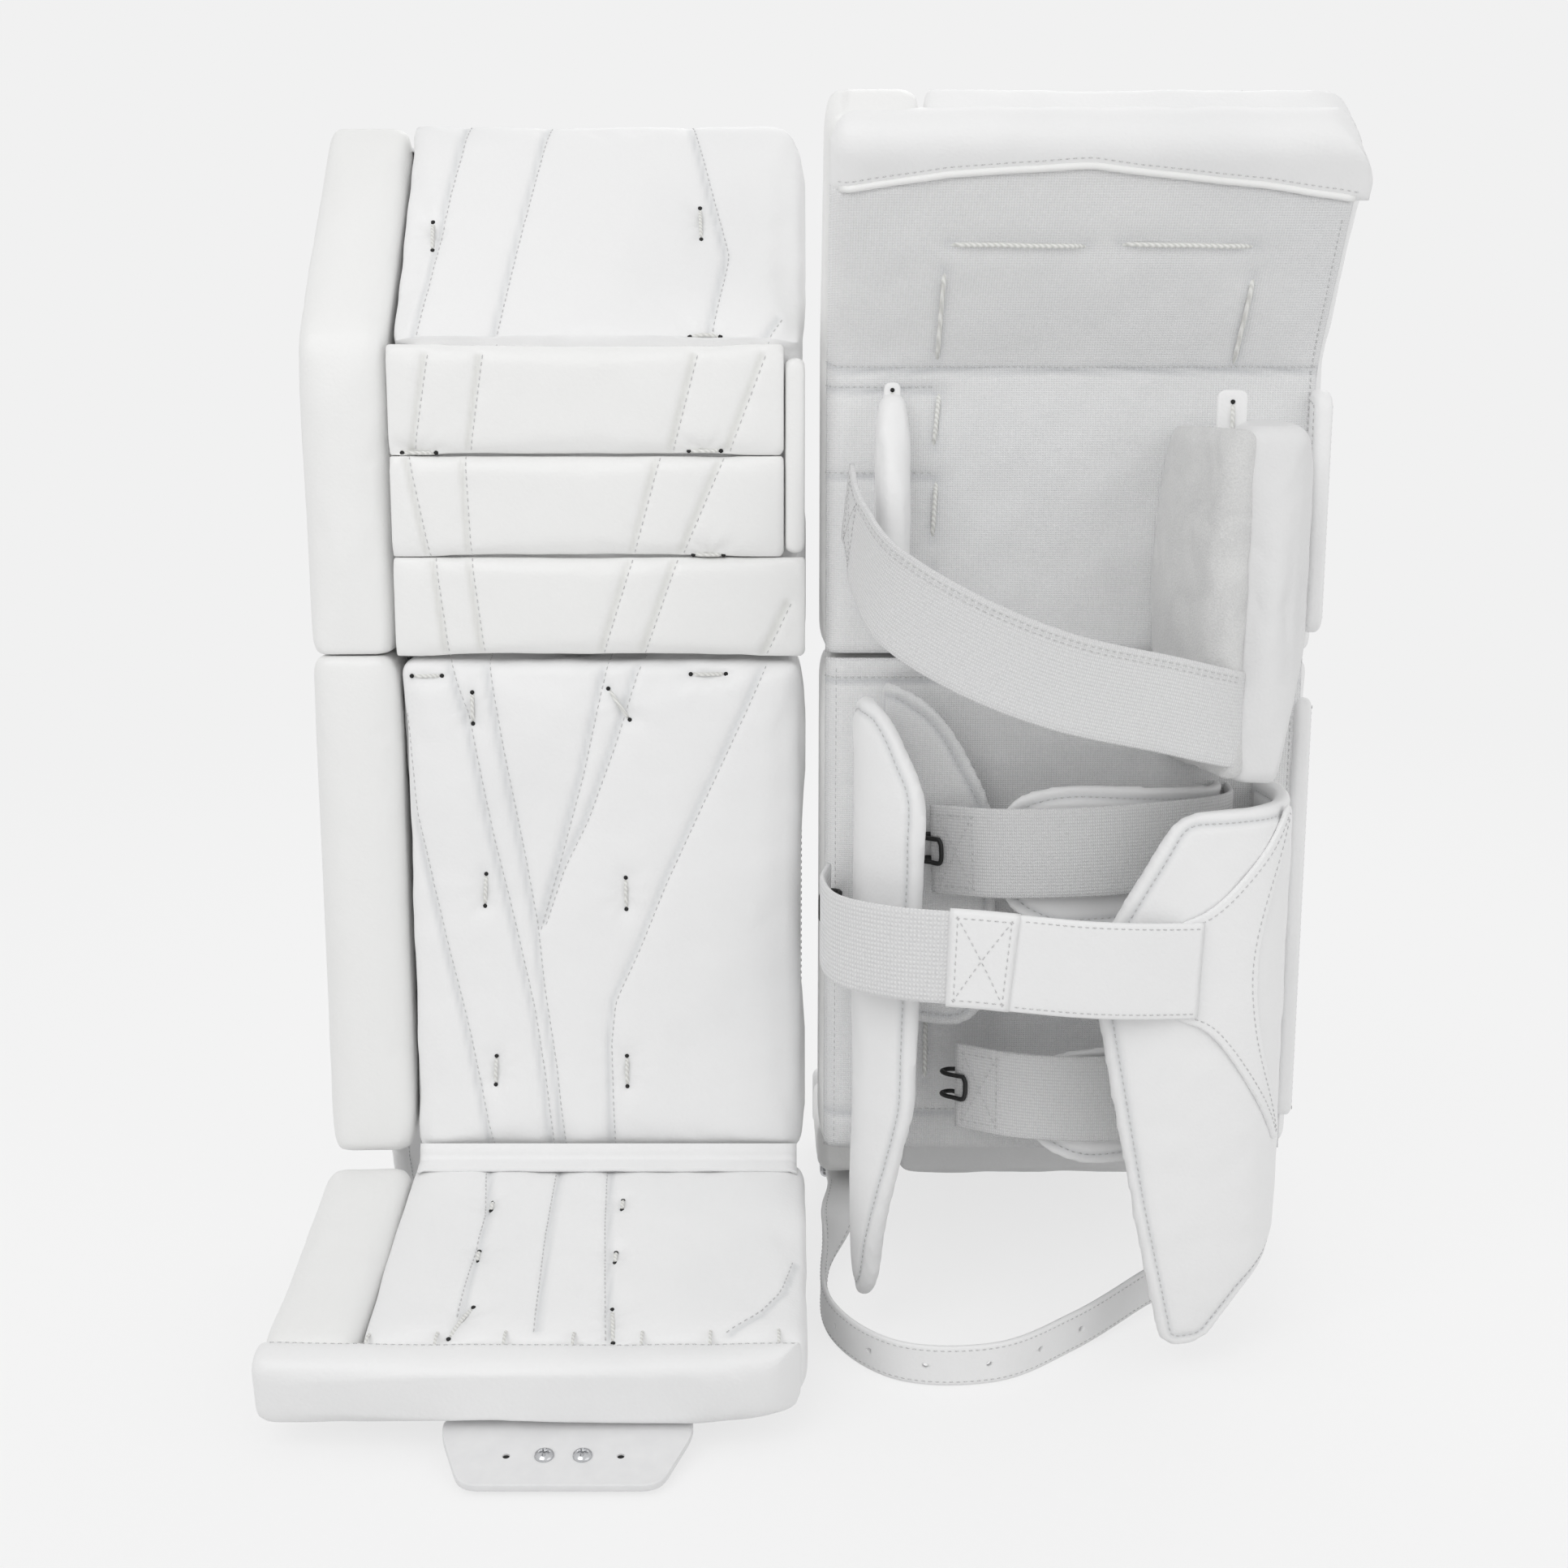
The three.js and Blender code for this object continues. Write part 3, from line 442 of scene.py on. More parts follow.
def distanceToLines(at, lines):
    best = np.full(len(at), 1e9)
    for line in lines:
        line = np.asarray(line, float)
        for a, b in zip(line[:-1], line[1:]):
            along = b - a
            share = np.clip((at - a) @ along / max(along @ along, 1e-9), 0, 1)
            best = np.minimum(best, np.linalg.norm(at - a - share[:, None] * along, axis=1))
    return best


# A face that is sewn has an origin, the directions of its two measures, and the way into the foam.
def faceFrame(origin, right, up, inwards):
    return {"origin": np.array(origin, float), "right": np.array(right, float), "up": np.array(up, float),
            "in": np.array(inwards, float)}


bootDown = bootPoint([(0, 0, 1)])[0] - bootPoint([(0, 0, 0)])[0]
bootIn = bootPoint([(0, 1, 0)])[0] - bootPoint([(0, 0, 0)])[0]
faces = {
    "thigh": faceFrame((0, *pad["thighFoot"]), (1, 0, 0), (0, *leanUp), (0, *leanBack)),
    "knee": faceFrame((0, pad["front"], 0), (1, 0, 0), (0, 0, 1), (0, 1, 0)),
    "shin": faceFrame((0, pad["front"], 0), (1, 0, 0), (0, 0, 1), (0, 1, 0)),
    "boot": faceFrame(bootPoint([(0, 0, 0)])[0], (1, 0, 0), bootDown, bootIn),
}


def measured(face, points):
    away = points - face["origin"]
    return np.c_[away @ face["right"], away @ face["up"]], away @ face["in"]


# Pulls the surface in along seams and round laces, and marks how near each point is to a seam or a lace; that mark is
# painted shade for the grooves there.
def sewn(shape, face, lines, laces=(), depth=1.5):
    verts, meshFaces = shape
    normals = normalsOf(shape)
    at, _ = measured(face, verts)
    facing = np.clip(-(normals @ face["in"]) * 1.6 - 0.5, 0, 1)
    # painted shade along the seams and, fainter, round the laces
    paintedShade = np.zeros(len(verts))
    if len(lines):
        away = distanceToLines(at, lines)
        pull = depth * np.exp(-(away / 2.6) ** 2) + depth * 0.5 * np.exp(-(away / 10) ** 2)
        pucker = 0.22 * np.exp(-(away / 7) ** 2) * ripple(np.c_[at, np.zeros(len(at))], 8, 5)
        verts = verts + face["in"] * (facing * (pull + pucker))[:, None]
        paintedShade = np.maximum(paintedShade, facing * np.exp(-(away / 2.0) ** 2))
    for a, b in laces:
        a, b = np.array(a, float), np.array(b, float)
        away = distanceToLines(at, [(a, b)])
        across = at - (a + b) / 2
        turn = np.arctan2(across[:, 1], across[:, 0])
        pull = 2.2 * np.exp(-(away / 6) ** 2) + 0.5 * np.exp(-(away / 13) ** 2) * (1 + np.cos(turn * 7 + a[0]))
        verts = verts + face["in"] * (facing * pull)[:, None]
        paintedShade = np.maximum(paintedShade, 0.5 * facing * np.exp(-(away / 2.5) ** 2))
    return (verts, meshFaces), paintedShade


stitchRows = {}  # rows of stitches on each body
laceRuns = {}  # laces on each body
# each hole is a dark tube sunk into the surface: painted shade inside the hole
laceHoleShades = {}  # and the holes that they go through


# Puts one piece on each pad. The left pad is the right one mirrored front to back.
def place(name, shape, body, material, replaces=(), seam=None, run=None, span=None):
    verts, meshFaces = shape
    for side, where in sides.items():
        placed = np.asarray(verts, float) * (1, where["turn"], 1) + (where["x"], 0, seamHeight)
        turned = meshFaces if where["turn"] > 0 else [f[::-1] for f in meshFaces]
        obj = looseObject(f"{side}_{name}", (placed, turned))
        mesh = obj.data
        mesh.shade_smooth()
        mesh.materials.append(materials[material])
        for kind, values in (("seam", seam), ("run", run), ("span", span)):
            if values is not None:
                mesh.attributes.new(kind, "FLOAT", "POINT").data.foreach_set("value", np.asarray(values, np.float32))
        if replaces:
            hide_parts(*(f"{side}_{node}" for node in replaces))
        if isinstance(body, str):
            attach(obj, f"{side}_{body}")
        else:
            first, second, *ends = body
            ends = [(np.array(end) * (1, where["turn"], 1) + (where["x"], 0, seamHeight)) * mm for end in ends]
            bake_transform(obj)


def joined(*parts):
    verts, meshFaces, start = [], [], 0
    for partVerts, partFaces in parts:
        verts.append(np.asarray(partVerts, float))
        meshFaces += [tuple(int(i) + start for i in f) for f in partFaces]
        start += len(partVerts)
    return np.concatenate(verts), meshFaces


def surfaceOf(*parts):
    verts, meshFaces = joined(*parts)
    return BVHTree.FromPolygons([tuple(v) for v in verts], meshFaces)


def spaced(line, step):
    line = np.asarray(line, float)
    run = np.r_[0, np.cumsum(np.linalg.norm(np.diff(line, axis=0), axis=1))]
    at = np.linspace(0, run[-1], max(2, int(run[-1] / step) + 1))
    return np.c_[tuple(np.interp(at, run, line[:, k]) for k in range(line.shape[1]))]


# A line drawn on a face, laid on the surface there.
def laidOn(face, surface, line, proud=0.2, step=3.0):
    out = []
    for u, v in spaced(line, step):
        start = face["origin"] + face["right"] * u + face["up"] * v - face["in"] * 60
        hit = surface.ray_cast(Vector(start), Vector(face["in"]), 110)[0]
        if hit is not None:
            out.append(np.array(hit) - face["in"] * proud)
    return np.array(out)


def stitch(body, *lines):
    stitchRows.setdefault(body, []).extend(line for line in lines if len(line) > 1)


def tube(line, radius, around=8, closed=False):
    line = np.asarray(line, float)
    ahead = np.gradient(line, axis=0)
    if closed:
        ahead = np.roll(line, -1, axis=0) - np.roll(line, 1, axis=0)
    ahead /= np.linalg.norm(ahead, axis=1, keepdims=True)
    side = np.cross(ahead[0], (0.3, 0.2, 0.9))
    rings = []
    for at, way in zip(line, ahead):
        side = side - way * side.dot(way)
        side = side / np.linalg.norm(side)
        up = np.cross(way, side)
        turn = np.arange(around) / around * 2 * math.pi
        rings.append(at + radius * (np.cos(turn)[:, None] * side + np.sin(turn)[:, None] * up))
    count = len(rings)
    meshFaces = ringFaces(count, around, closed)
    if not closed:
        meshFaces += [tuple(range(around))[::-1], tuple(range((count - 1) * around, count * around))]
    return np.concatenate(rings), meshFaces


# A lace pulled through at both ends, standing up from the surface between them.
def lace(body, a, b, away, radius=1.05, rise=1.5, holes=True):
    a, b, away = (np.asarray(v, float) for v in (a, b, away))
    t = np.linspace(0, 1, 9)[:, None]
    line = a + (b - a) * t + away * (rise * np.minimum(1, 2.6 * np.sin(math.pi * t)) - 1.5 * (1 - np.sin(math.pi * t)))
    laceRuns.setdefault(body, []).append(tube(line, radius, 8))
    # dark tubes in the holes at both ends: painted shade inside them
    for end, other in ((a, b), (b, a)) if holes else ():
        out = end + (end - other) / np.linalg.norm(end - other) * 0.9
        laceHoleShades.setdefault(body, []).append(tube([out - away * 2.5, out, out + away * 0.5], 1.25, 8))


# The padded covers start a little slack and swell.
seams = {
    "thigh": [
        [(-57, 166), (-64, 110), (-69, 60), (-76, 2)], [(-10, 166), (-24, 67), (-32, 2)],
        [(72, 168), (95, 63), (86, 10), (84, 2)], [(124, 19), (115, 2)],
    ],
    "upper": [[(-69, 165), (-78, 113)], [(-39, 165), (-47, 113)], [(78, 165), (64, 113)], [(115, 165), (95, 113)]],
    "middle": [[(-81, 110), (-71, 57)], [(-50, 110), (-48, 57)], [(57, 110), (42, 57)], [(92, 110), (69, 57)]],
    "lower": [[(-68, 54), (-62, 1)], [(-48, 54), (-42, 1)], [(41, 54), (24, 1)], [(66, 54), (47, 1)],
              [(129, 30), (115, 1)]],
    "shin": [
        [(-63, -1), (-52, -35), (-40, -103), (-30, -149), (-19, -205), (-13, -253), (-10, -290)],
        [(-41, -1), (-33, -53), (-22, -116), (-16, -156), (-13, -193), (-7, -241), (-3, -292)],
        [(27, -1), (23, -17), (12, -66), (-2, -116), (-14, -156)],
        [(47, -1), (44, -6), (30, -50), (14, -93), (0, -121), (-11, -153)],
        [(117, -1), (106, -26), (81, -80), (58, -130), (42, -170), (28, -200), (25, -227), (26, -292)],
        [(-88, -34), (-84, -89), (-69, -163), (-57, -219), (-45, -292)],
    ],
    "boot": [
        [(-3, -3), (-2, -80), (1, -162)], [(26, -3), (30, -70), (38, -165)], [(-45, -3), (-38, -60), (-40, -150)],
        [(134, -104), (128, -132), (116, -152), (100, -165)],
    ],
}
laces = {
    "thigh": [((-71, 91), (-70, 73)), ((80, 100), (81, 79)), ((77, 8), (92, 8))],
    "upper": [((-82, 113), (-65, 113)), ((76, 114), (92, 114))],
    "middle": [((78, 57), (93, 57))],
    "shin": [
        ((-48, -21), (-48, -37)), ((-43, -126), (-44, -143)), ((37, -128), (37, -145)), ((-40, -235), (-41, -251)),
        ((36, -235), (36, -252)), ((29, -19), (40, -35)), ((-81, -11), (-66, -11)), ((76, -10), (94, -10)),
    ],
    "boot": [((-35, -144), (-44, -165)), ((38, -144), (40, -167)), ((-38, -43), (-38, -50)), ((36, -43), (36, -50)),
             ((-39, -92), (-39, -99)), ((36, -94), (36, -101))],
}
cover = {"voxel": 5.0, "edge": 12}

thighProfile = [
    (pad["back"] - 1, 1.4, 4), (pad["back"] - 1, 159), (thighTopBack[0] - 1, thighTopBack[1]),
    (thighTop[0], thighTop[1] - 1), (pad["thighFoot"][0] + 1, pad["thighFoot"][1], 2),
    (pad["kneeFront"] + 1, pad["kneeTop"] - 1, 2), (pad["kneeFront"] + 1, 1.4, 3),
]
shinProfile = [(25, -294, 5), (25, -1.2, 4), (-35, -1.2, 4), (-35, -294, 5)]
bootOutline = [
    (138.8, -3.2, 6), (-89.4, -3.2, 6), (-89.4, pad["binding"] - pad["bootLength"] + 2.4, 6),
    (138.8, pad["binding"] - pad["bootLength"] + 2.4, 10),
]
thighRollProfile = [
    (23, 1.4), (23, 159), (thighTopBack[0] - 3, thighTopBack[1] - 1), (thighTop[0] + 2, thighTop[1] - 4),
    (-31, 168), (-32, 84), (-32, 1.4, 5),
]
shinRollProfile = [(-32, -1.2, 5), (-32, -291, 9), (23, -291), (23, -1.2)]
kneeRollProfile = [(-22.8, 1.5, 4), (-22.8, 54, 4), (-35.2, 54, 10), (-35.2, 1.5, 10)]
coverEnds, rollEnds = (pad["coverStart"] + 1.2, pad["inner"] - 1.2), (pad["outer"] + 1, pad["coverStart"] - 1.6)
bootRollOutline = [(rollEnds[1], -4, 5), (rollEnds[0], -4), (rollEnds[0], -167), (rollEnds[1], -167, 5)]
bindingOutline = [(138.8, -171.5, 4), (-139, -171.5, 4), (-139, -195, 12), (102, -195.6, 30), (138.8, -181, 12)]
# each with the edge of its remeshed squares
blocks = {
    "thigh": (loft(thighProfile, 10, *coverEnds, 5, "x"), cover["voxel"]),
    "shin": (loft(shinProfile, cover["edge"], *coverEnds, 5, "x"), cover["voxel"]),
    "boot": (loft(bootOutline, 8, -38.5, -1.2, 5, "y"), cover["voxel"]),
    "kneeRoll": (loft(kneeRollProfile, 9, -87, 126, 5, "x"), 3.4),
    "thighRoll": (loft(thighRollProfile, 12, *rollEnds, 8, "x"), 4.5),
    "shinRoll": (loft(shinRollProfile, 12, *rollEnds, 8, "x"), 4.5),
    "bootRoll": (loft(bootRollOutline, 9, -37, -4, 7, "y"), 4.2),
    "binding": (loft(bindingOutline, 9, -39, -1, 8, "y"), 3.4),
}
print("covers blocked out")
shapes = {name: remeshed(shape, voxel) for name, (shape, voxel) in blocks.items()}


# The wraps are drawn flat and then bent round the leg.
def planLine(points, steps=60):
    points = [np.array(p, float) for p in points]
    points = [2 * points[0] - points[1], *points, 2 * points[-1] - points[-2]]
    out = []
    for p0, p1, p2, p3 in zip(points, points[1:], points[2:], points[3:]):
        t1 = math.sqrt(max(np.linalg.norm(p1 - p0), 1e-4))
        t2 = t1 + math.sqrt(max(np.linalg.norm(p2 - p1), 1e-4))
        t3 = t2 + math.sqrt(max(np.linalg.norm(p3 - p2), 1e-4))
        for t in np.linspace(t1, t2, steps, endpoint=False):
            a1 = (t1 - t) / t1 * p0 + t / t1 * p1
            a2 = (t2 - t) / (t2 - t1) * p1 + (t - t1) / (t2 - t1) * p2
            a3 = (t3 - t) / (t3 - t2) * p2 + (t - t2) / (t3 - t2) * p3
            b1, b2 = (t2 - t) / t2 * a1 + t / t2 * a2, (t3 - t) / (t3 - t1) * a2 + (t - t1) / (t3 - t1) * a3
            out.append((t2 - t) / (t2 - t1) * b1 + (t - t1) / (t2 - t1) * b2)
    out.append(points[-2])
    line = np.array(out)
    run = np.r_[0, np.cumsum(np.linalg.norm(np.diff(line, axis=0), axis=1))]
    return line, run


# From (distance along the line, distance to its left, height) to the pad's frame.
def bent(verts, plan):
    line, run = planLine(plan)
    ahead = np.gradient(line, run, axis=0)
    ahead /= np.linalg.norm(ahead, axis=1, keepdims=True)
    s = np.clip(verts[:, 0], 0, run[-1])
    x, y = (np.interp(s, run, line[:, k]) for k in (0, 1))
    dx, dy = (np.interp(s, run, ahead[:, k]) for k in (0, 1))
    past = verts[:, 0] - s
    off = verts[:, 1]
    return np.c_[x + dx * past - dy * off, y + dy * past + dx * off, verts[:, 2]]


wraps = {
    "outerPlan": [(-110, 18.4), (-116, 62), (-109, 96), (-84, 121)],
    "innerPlan": [(110, 20.4), (112, 75), (94, 111), (50, 129), (-2, 131)],
    "thickness": 11, "voxel": 3.4,
    # outlines as (distance along the wrap from its sewn edge, height)
    "outerLeaf": [(6.4, -290, 3), (44, -356, 12), (60, -366, 14), (76, -352, 14), (108, -240, 20), (113, -62, 18),
                  (86, -16, 22), (42, -15, 20), (6.4, -40, 4)],
    "innerLeaf": [(6.4, -312, 4), (96, -338, 24), (124, -369, 12), (150, -369, 12), (168, -288, 18), (195, -148, 18),
                  (150, -67, 16), (6.4, -67, 4)],
}
half = wraps["thickness"] / 2
for name in ("outer", "inner"):
    shapes[f"{name}Wrap"] = remeshed(loft(wraps[f"{name}Leaf"], 16, -half + 0.8, half - 0.8, 4.2, "y"), wraps["voxel"])
wing = [(24.8, 138), (24.8, 28), (46, 7), (77, 7), (79, 90), (53, 145), (38, 146)]
shapes["wing"] = remeshed(loft(wing, 12, -109, -94, 6.4, "x"), 3.2)
stackLiningPlan = [(70, 28), (70, 62, 8), (80, 122, 6), (68, 124, 6), (51, 62, 10), (56.5, 28)]
stackBlockPlan = [(112, 28), (112, 70, 10), (107.5, 130, 14), (72, 130, 12), (67, 96, 10), (70, 28)]
shapes["stackLining"] = remeshed(loft(stackLiningPlan, 4, -50, 128, 5, "z"), 3.4)
shapes["stackBlock"] = remeshed(loft(stackBlockPlan, 4, -54, 130, 8, "z"), 3.6)
print("padded shapes meshed:", {name: len(shape[0]) for name, shape in shapes.items()})

caps = {"thigh": 3.5, "shin": 3.2, "boot": 2.6, "kneeRoll": 2.2, "thighRoll": 2.0, "shinRoll": 2.0, "bootRoll": 1.8,
        "binding": 1.6, "outerWrap": 1.4, "innerWrap": 1.4, "wing": 1.4, "stackLining": 2.4, "stackBlock": 3.0}
shapes = inflated(shapes, caps)
print("padding swollen")


# The surface of a swollen shape, made finer, with soft wrinkles.
def surfaced(name, wrinkle, seed):
    verts, meshFaces = subdivided(shapes[name])
    waves = ripple(verts, 75, seed) + 0.55 * ripple(verts, 27, seed + 1)
    return verts + normalsOf((verts, meshFaces)) * (wrinkle * waves)[:, None], meshFaces


# Stretches a shape along its axes, so that it fills the space between its neighbours and is pressed flat there.
def fitted(verts, pressed=1.5, **ends):
    verts = verts.copy()
    for axis, (low, high) in ends.items():
        k = "xyz".index(axis)
        start, end = verts[:, k].min(), verts[:, k].max()
        past = 0 if axis == "y" else pressed
        stretched = low - past + (verts[:, k] - start) * (high - low + 2 * past) / (end - start)
        verts[:, k] = np.clip(stretched, low, high)
    return verts


def cornered(verts, face, edge, far, radius):
    # rounds off the corner of a face that lies at x = edge and u = far
    at, _ = measured(face, verts)
    ways = np.sign((edge, far))
    away = (at - (edge, far)) * ways + radius
    reach = np.hypot(*away.T)
    out = (away.min(1) > 0) & (reach > radius)
    move = away * ways * (radius / np.maximum(reach, 1e-6) - 1)[:, None] * out[:, None]
    return verts + move[:, :1] * face["right"] + move[:, 1:] * face["up"]


def beside(line, distance):
    line = np.asarray(line, float)
    ahead = np.gradient(line, axis=0)
    ahead /= np.linalg.norm(ahead, axis=1, keepdims=True)
    return line + np.c_[-ahead[:, 1], ahead[:, 0]] * distance


# Stitches run either side of each seam, and each lace crosses its own small stretch.
def trimmed(body, faceName, shape, lines, lacePairs, rows=(2.3,)):
    face, surface = faces[faceName], surfaceOf(shape)
    for line in lines:
        for distance in rows:
            stitch(body, laidOn(face, surface, beside(spaced(line, 8), distance)))
    for a, b in lacePairs:
        ends = laidOn(face, surface, [a, b], 0.0, 400)
        if len(ends) == 2:
            lace(body, *ends, -face["in"])


flatBack = pad["back"] + 1.2
coverWide, rollWide = (pad["coverStart"] + 0.3, pad["inner"]), (pad["outer"] + 0.1, pad["coverStart"] - 0.3)
verts, meshFaces = surfaced("thigh", 0.42, 3)
verts = fitted(verts, x=coverWide, z=(0.4, 297.5))
lower = verts[:, 2] < 152
verts[lower, 1] = np.minimum(verts[lower, 1], flatBack)
thighEnd = measured(faces["thigh"], verts)[0][:, 1].max()
verts = cornered(verts, faces["thigh"], pad["inner"], thighEnd, 40)
# the mark that goes with each cover is painted shade along its seams and round its laces
thighShape, thighSeamShade = sewn((verts, meshFaces), faces["thigh"], seams["thigh"], laces["thigh"])
place("thigh_padding", thighShape, "thigh", "leather", ("thigh_cover", "thigh_core"), thighSeamShade)
trimmed("thigh", "thigh", thighShape, seams["thigh"], laces["thigh"])

pitch = pad["kneeTop"] / 3
for index, name in enumerate(("lower", "middle", "upper")):
    verts, meshFaces = surfaced("kneeRoll", 0.25, 11 + index)
    inner = pad["inner"] - (0.6 if name == "lower" else 12.6)
    top = (index + 1) * pitch + (4.5 if name == "upper" else -0.2)
    verts = fitted(verts, x=(pad["coverStart"] + 0.8, inner), y=(-37, -22.6), z=(index * pitch + 0.4, top))
    rollShape, rollSeamShade = sewn((verts, meshFaces), faces["knee"], seams[name], laces.get(name, ()), 1.3)
    place(f"knee_roll_{name}_padding", rollShape, "thigh", "rollLeather", (f"knee_roll_{name}",),
          rollSeamShade)
    trimmed("thigh", "knee", rollShape, seams[name], laces.get(name, ()))

verts, meshFaces = surfaced("shin", 0.4, 17)
verts = fitted(verts, x=coverWide, y=(-37, flatBack), z=(-295.6, -0.4))
shinShape, shinSeamShade = sewn((verts, meshFaces), faces["shin"], seams["shin"], laces["shin"])
place("shin_padding", shinShape, "shin", "leather", ("shin_cover", "shin_core"), shinSeamShade)
trimmed("shin", "shin", shinShape, seams["shin"], laces["shin"])

toeCorner, toeRadius = (pad["inner"], -pad["bootLength"]), 42
verts, meshFaces = surfaced("boot", 0.28, 23)
verts = fitted(verts, x=coverWide, y=(-0.5, 39.6), z=(-171, -0.8))
verts = cornered(bootPoint(verts), faces["boot"], *toeCorner, toeRadius)
bootShape, bootSeamShade = sewn((verts, meshFaces), faces["boot"], seams["boot"], laces["boot"], 0.9)
place("boot_padding", bootShape, "boot", "leather", ("boot_cover", "boot_core"), bootSeamShade)
trimmed("boot", "boot", bootShape, seams["boot"], laces["boot"], (-2.0,))

verts, meshFaces = surfaced("binding", 0.2, 29)
verts = fitted(verts, x=(pad["outer"], pad["inner"]), y=(-0.8, 39.6), z=(-195.8, -170.2))
verts = cornered(bootPoint(verts), faces["boot"], *toeCorner, toeRadius)
# the cut corner is softened, and the rest stays
fromCorner = np.hypot(*(measured(faces["boot"], verts)[0] - toeCorner).T)
bindingShape = relaxed((verts, meshFaces), 10, np.clip((fromCorner - 38) / 18, 0, 1))
place("toe_binding", bindingShape, "boot", "leather")
toeSurface = surfaceOf(bootShape, bindingShape)
stitch("boot", laidOn(faces["boot"], toeSurface, [(-132, -176), (132, -176)]))
for x in range(-120, 130, 35):
    ends = laidOn(faces["boot"], toeSurface, [(x, -163), (x, -175)], 0.0, 400)
    if len(ends) == 2:
        lace("boot", *ends, -faces["boot"]["in"], 0.8, 1.0, False)

# A strip of leather closes the crease where the boot bends up from the shin.
crease = {"from": -86, "to": 135, "thickness": 1.8, "path": [
    (-36.2, -287), (-37.8, -291), (-38.3, -294), (-40.2, -296.3), (-44, -296.8), (-50, -298.4)]}
path = planLine(crease["path"], 5)[0]
ahead = np.gradient(path, axis=0)
ahead /= np.linalg.norm(ahead, axis=1, keepdims=True)
wide = np.linspace(crease["from"], crease["to"], 60)
ends = np.clip(np.minimum(wide - wide[0], wide[-1] - wide) / 5, 0, 1)
sinks = 2.4 * (1 - np.sqrt(ends * (2 - ends)))
sheets = []
for off in (crease["thickness"] / 2, -crease["thickness"] / 2):
    for (y, z), (dy, dz) in zip(path, ahead):
        shift = off + sinks + 0.25 * np.sin(wide / 6.0) * np.sin(wide / 17.0)
        sheets.append(np.c_[wide, y - dz * shift, z + dy * shift])
place("boot_crease", (np.concatenate(sheets), sheetFaces(len(path), len(wide))),
      ("shin", "boot", (0, -37, -289), (0, -46, -297.5)), "leather")
print("covers sewn")

# The three bare outer rolls.
for name, low, high, seed in (("thigh", 0.4, 297, 31), ("shin", -295.2, -0.4, 37), ("boot", -170.4, -1, 41)):
    verts, meshFaces = surfaced(f"{name}Roll", 0.22, seed)
    verts = fitted(verts, x=rollWide, z=(low, high))
    if name == "thigh":
        verts = cornered(verts, faces["thigh"], pad["outer"], thighEnd, 10)
    if name == "boot":
        verts = bootPoint(verts)
    place(f"{name}_outer_roll_padding", (verts, meshFaces), name, "rollLeather", (f"{name}_outer_roll",))

# A slim roll stands in front of the cover along the inner edge, and stiff flaps stand on its leg side.
strip = remeshed(loft([(-23, 57), (-23, 165), (-34.6, 165), (-34.6, 57)], 6, 128, 139.4, 4.6, "x"), 3)
place("knee_edge_roll", subdivided(strip), "thigh", "rollLeather")
for name, body, reach, low, high in (("knee", "thigh", 46, 14, 147), ("shin", "shin", 34, -272, -24)):
    profile = [(20, low), (reach, low, 12), (reach, high, 12), (20, high)]
    place(f"{name}_side_flap", loft(profile, 6, 128.2, 137.8, 3.4, "x"), body, "wrapLeather")
    for x in (127.9, 138.1):
        row = [(x, 30, low + 5), (x, reach - 5, low + 8), (x, reach - 5, high - 8), (x, 30, high - 5)]
        stitch(body, spaced(row, 4))


# The knitted nylon on the leg side: a quilted sheet that lies on the foam, from its own edge lines.
back = {"outer": -137, "inner": 132, "proud": 4.2, "billow": 1.5, "step": 3.2, "edge": 5, "wrapRound": 10}
legCorners = [(pad["back"], -310), (pad["back"], 159, 16), (*thighTopBack, 12), thighTop]
legRing = roundedOutline([(-400, -310), *legCorners, (-400, 600)], 1, 12)
legRing = legRing[(legRing[:, 0] > -390)]
legPath = spaced(legRing[np.argmax(legRing[:, 1] > -320):], 1.0)
legRun = np.r_[0, np.cumsum(np.linalg.norm(np.diff(legPath, axis=0), axis=1))]
straight = 420  # points below the bend, among them the one at the knee seam
legRun -= np.interp(0, legPath[:straight, 1], legRun[:straight])
legAhead = np.gradient(legPath, legRun, axis=0)


def legSide(x, s, off):
    # s runs up the back from the knee seam, round the bend into the thigh and over its top
    y, z, dy, dz = (np.interp(s, legRun, values[:, k]) for values in (legPath, legAhead) for k in (0, 1))
    return np.c_[x, y + dz * off, z - dy * off]


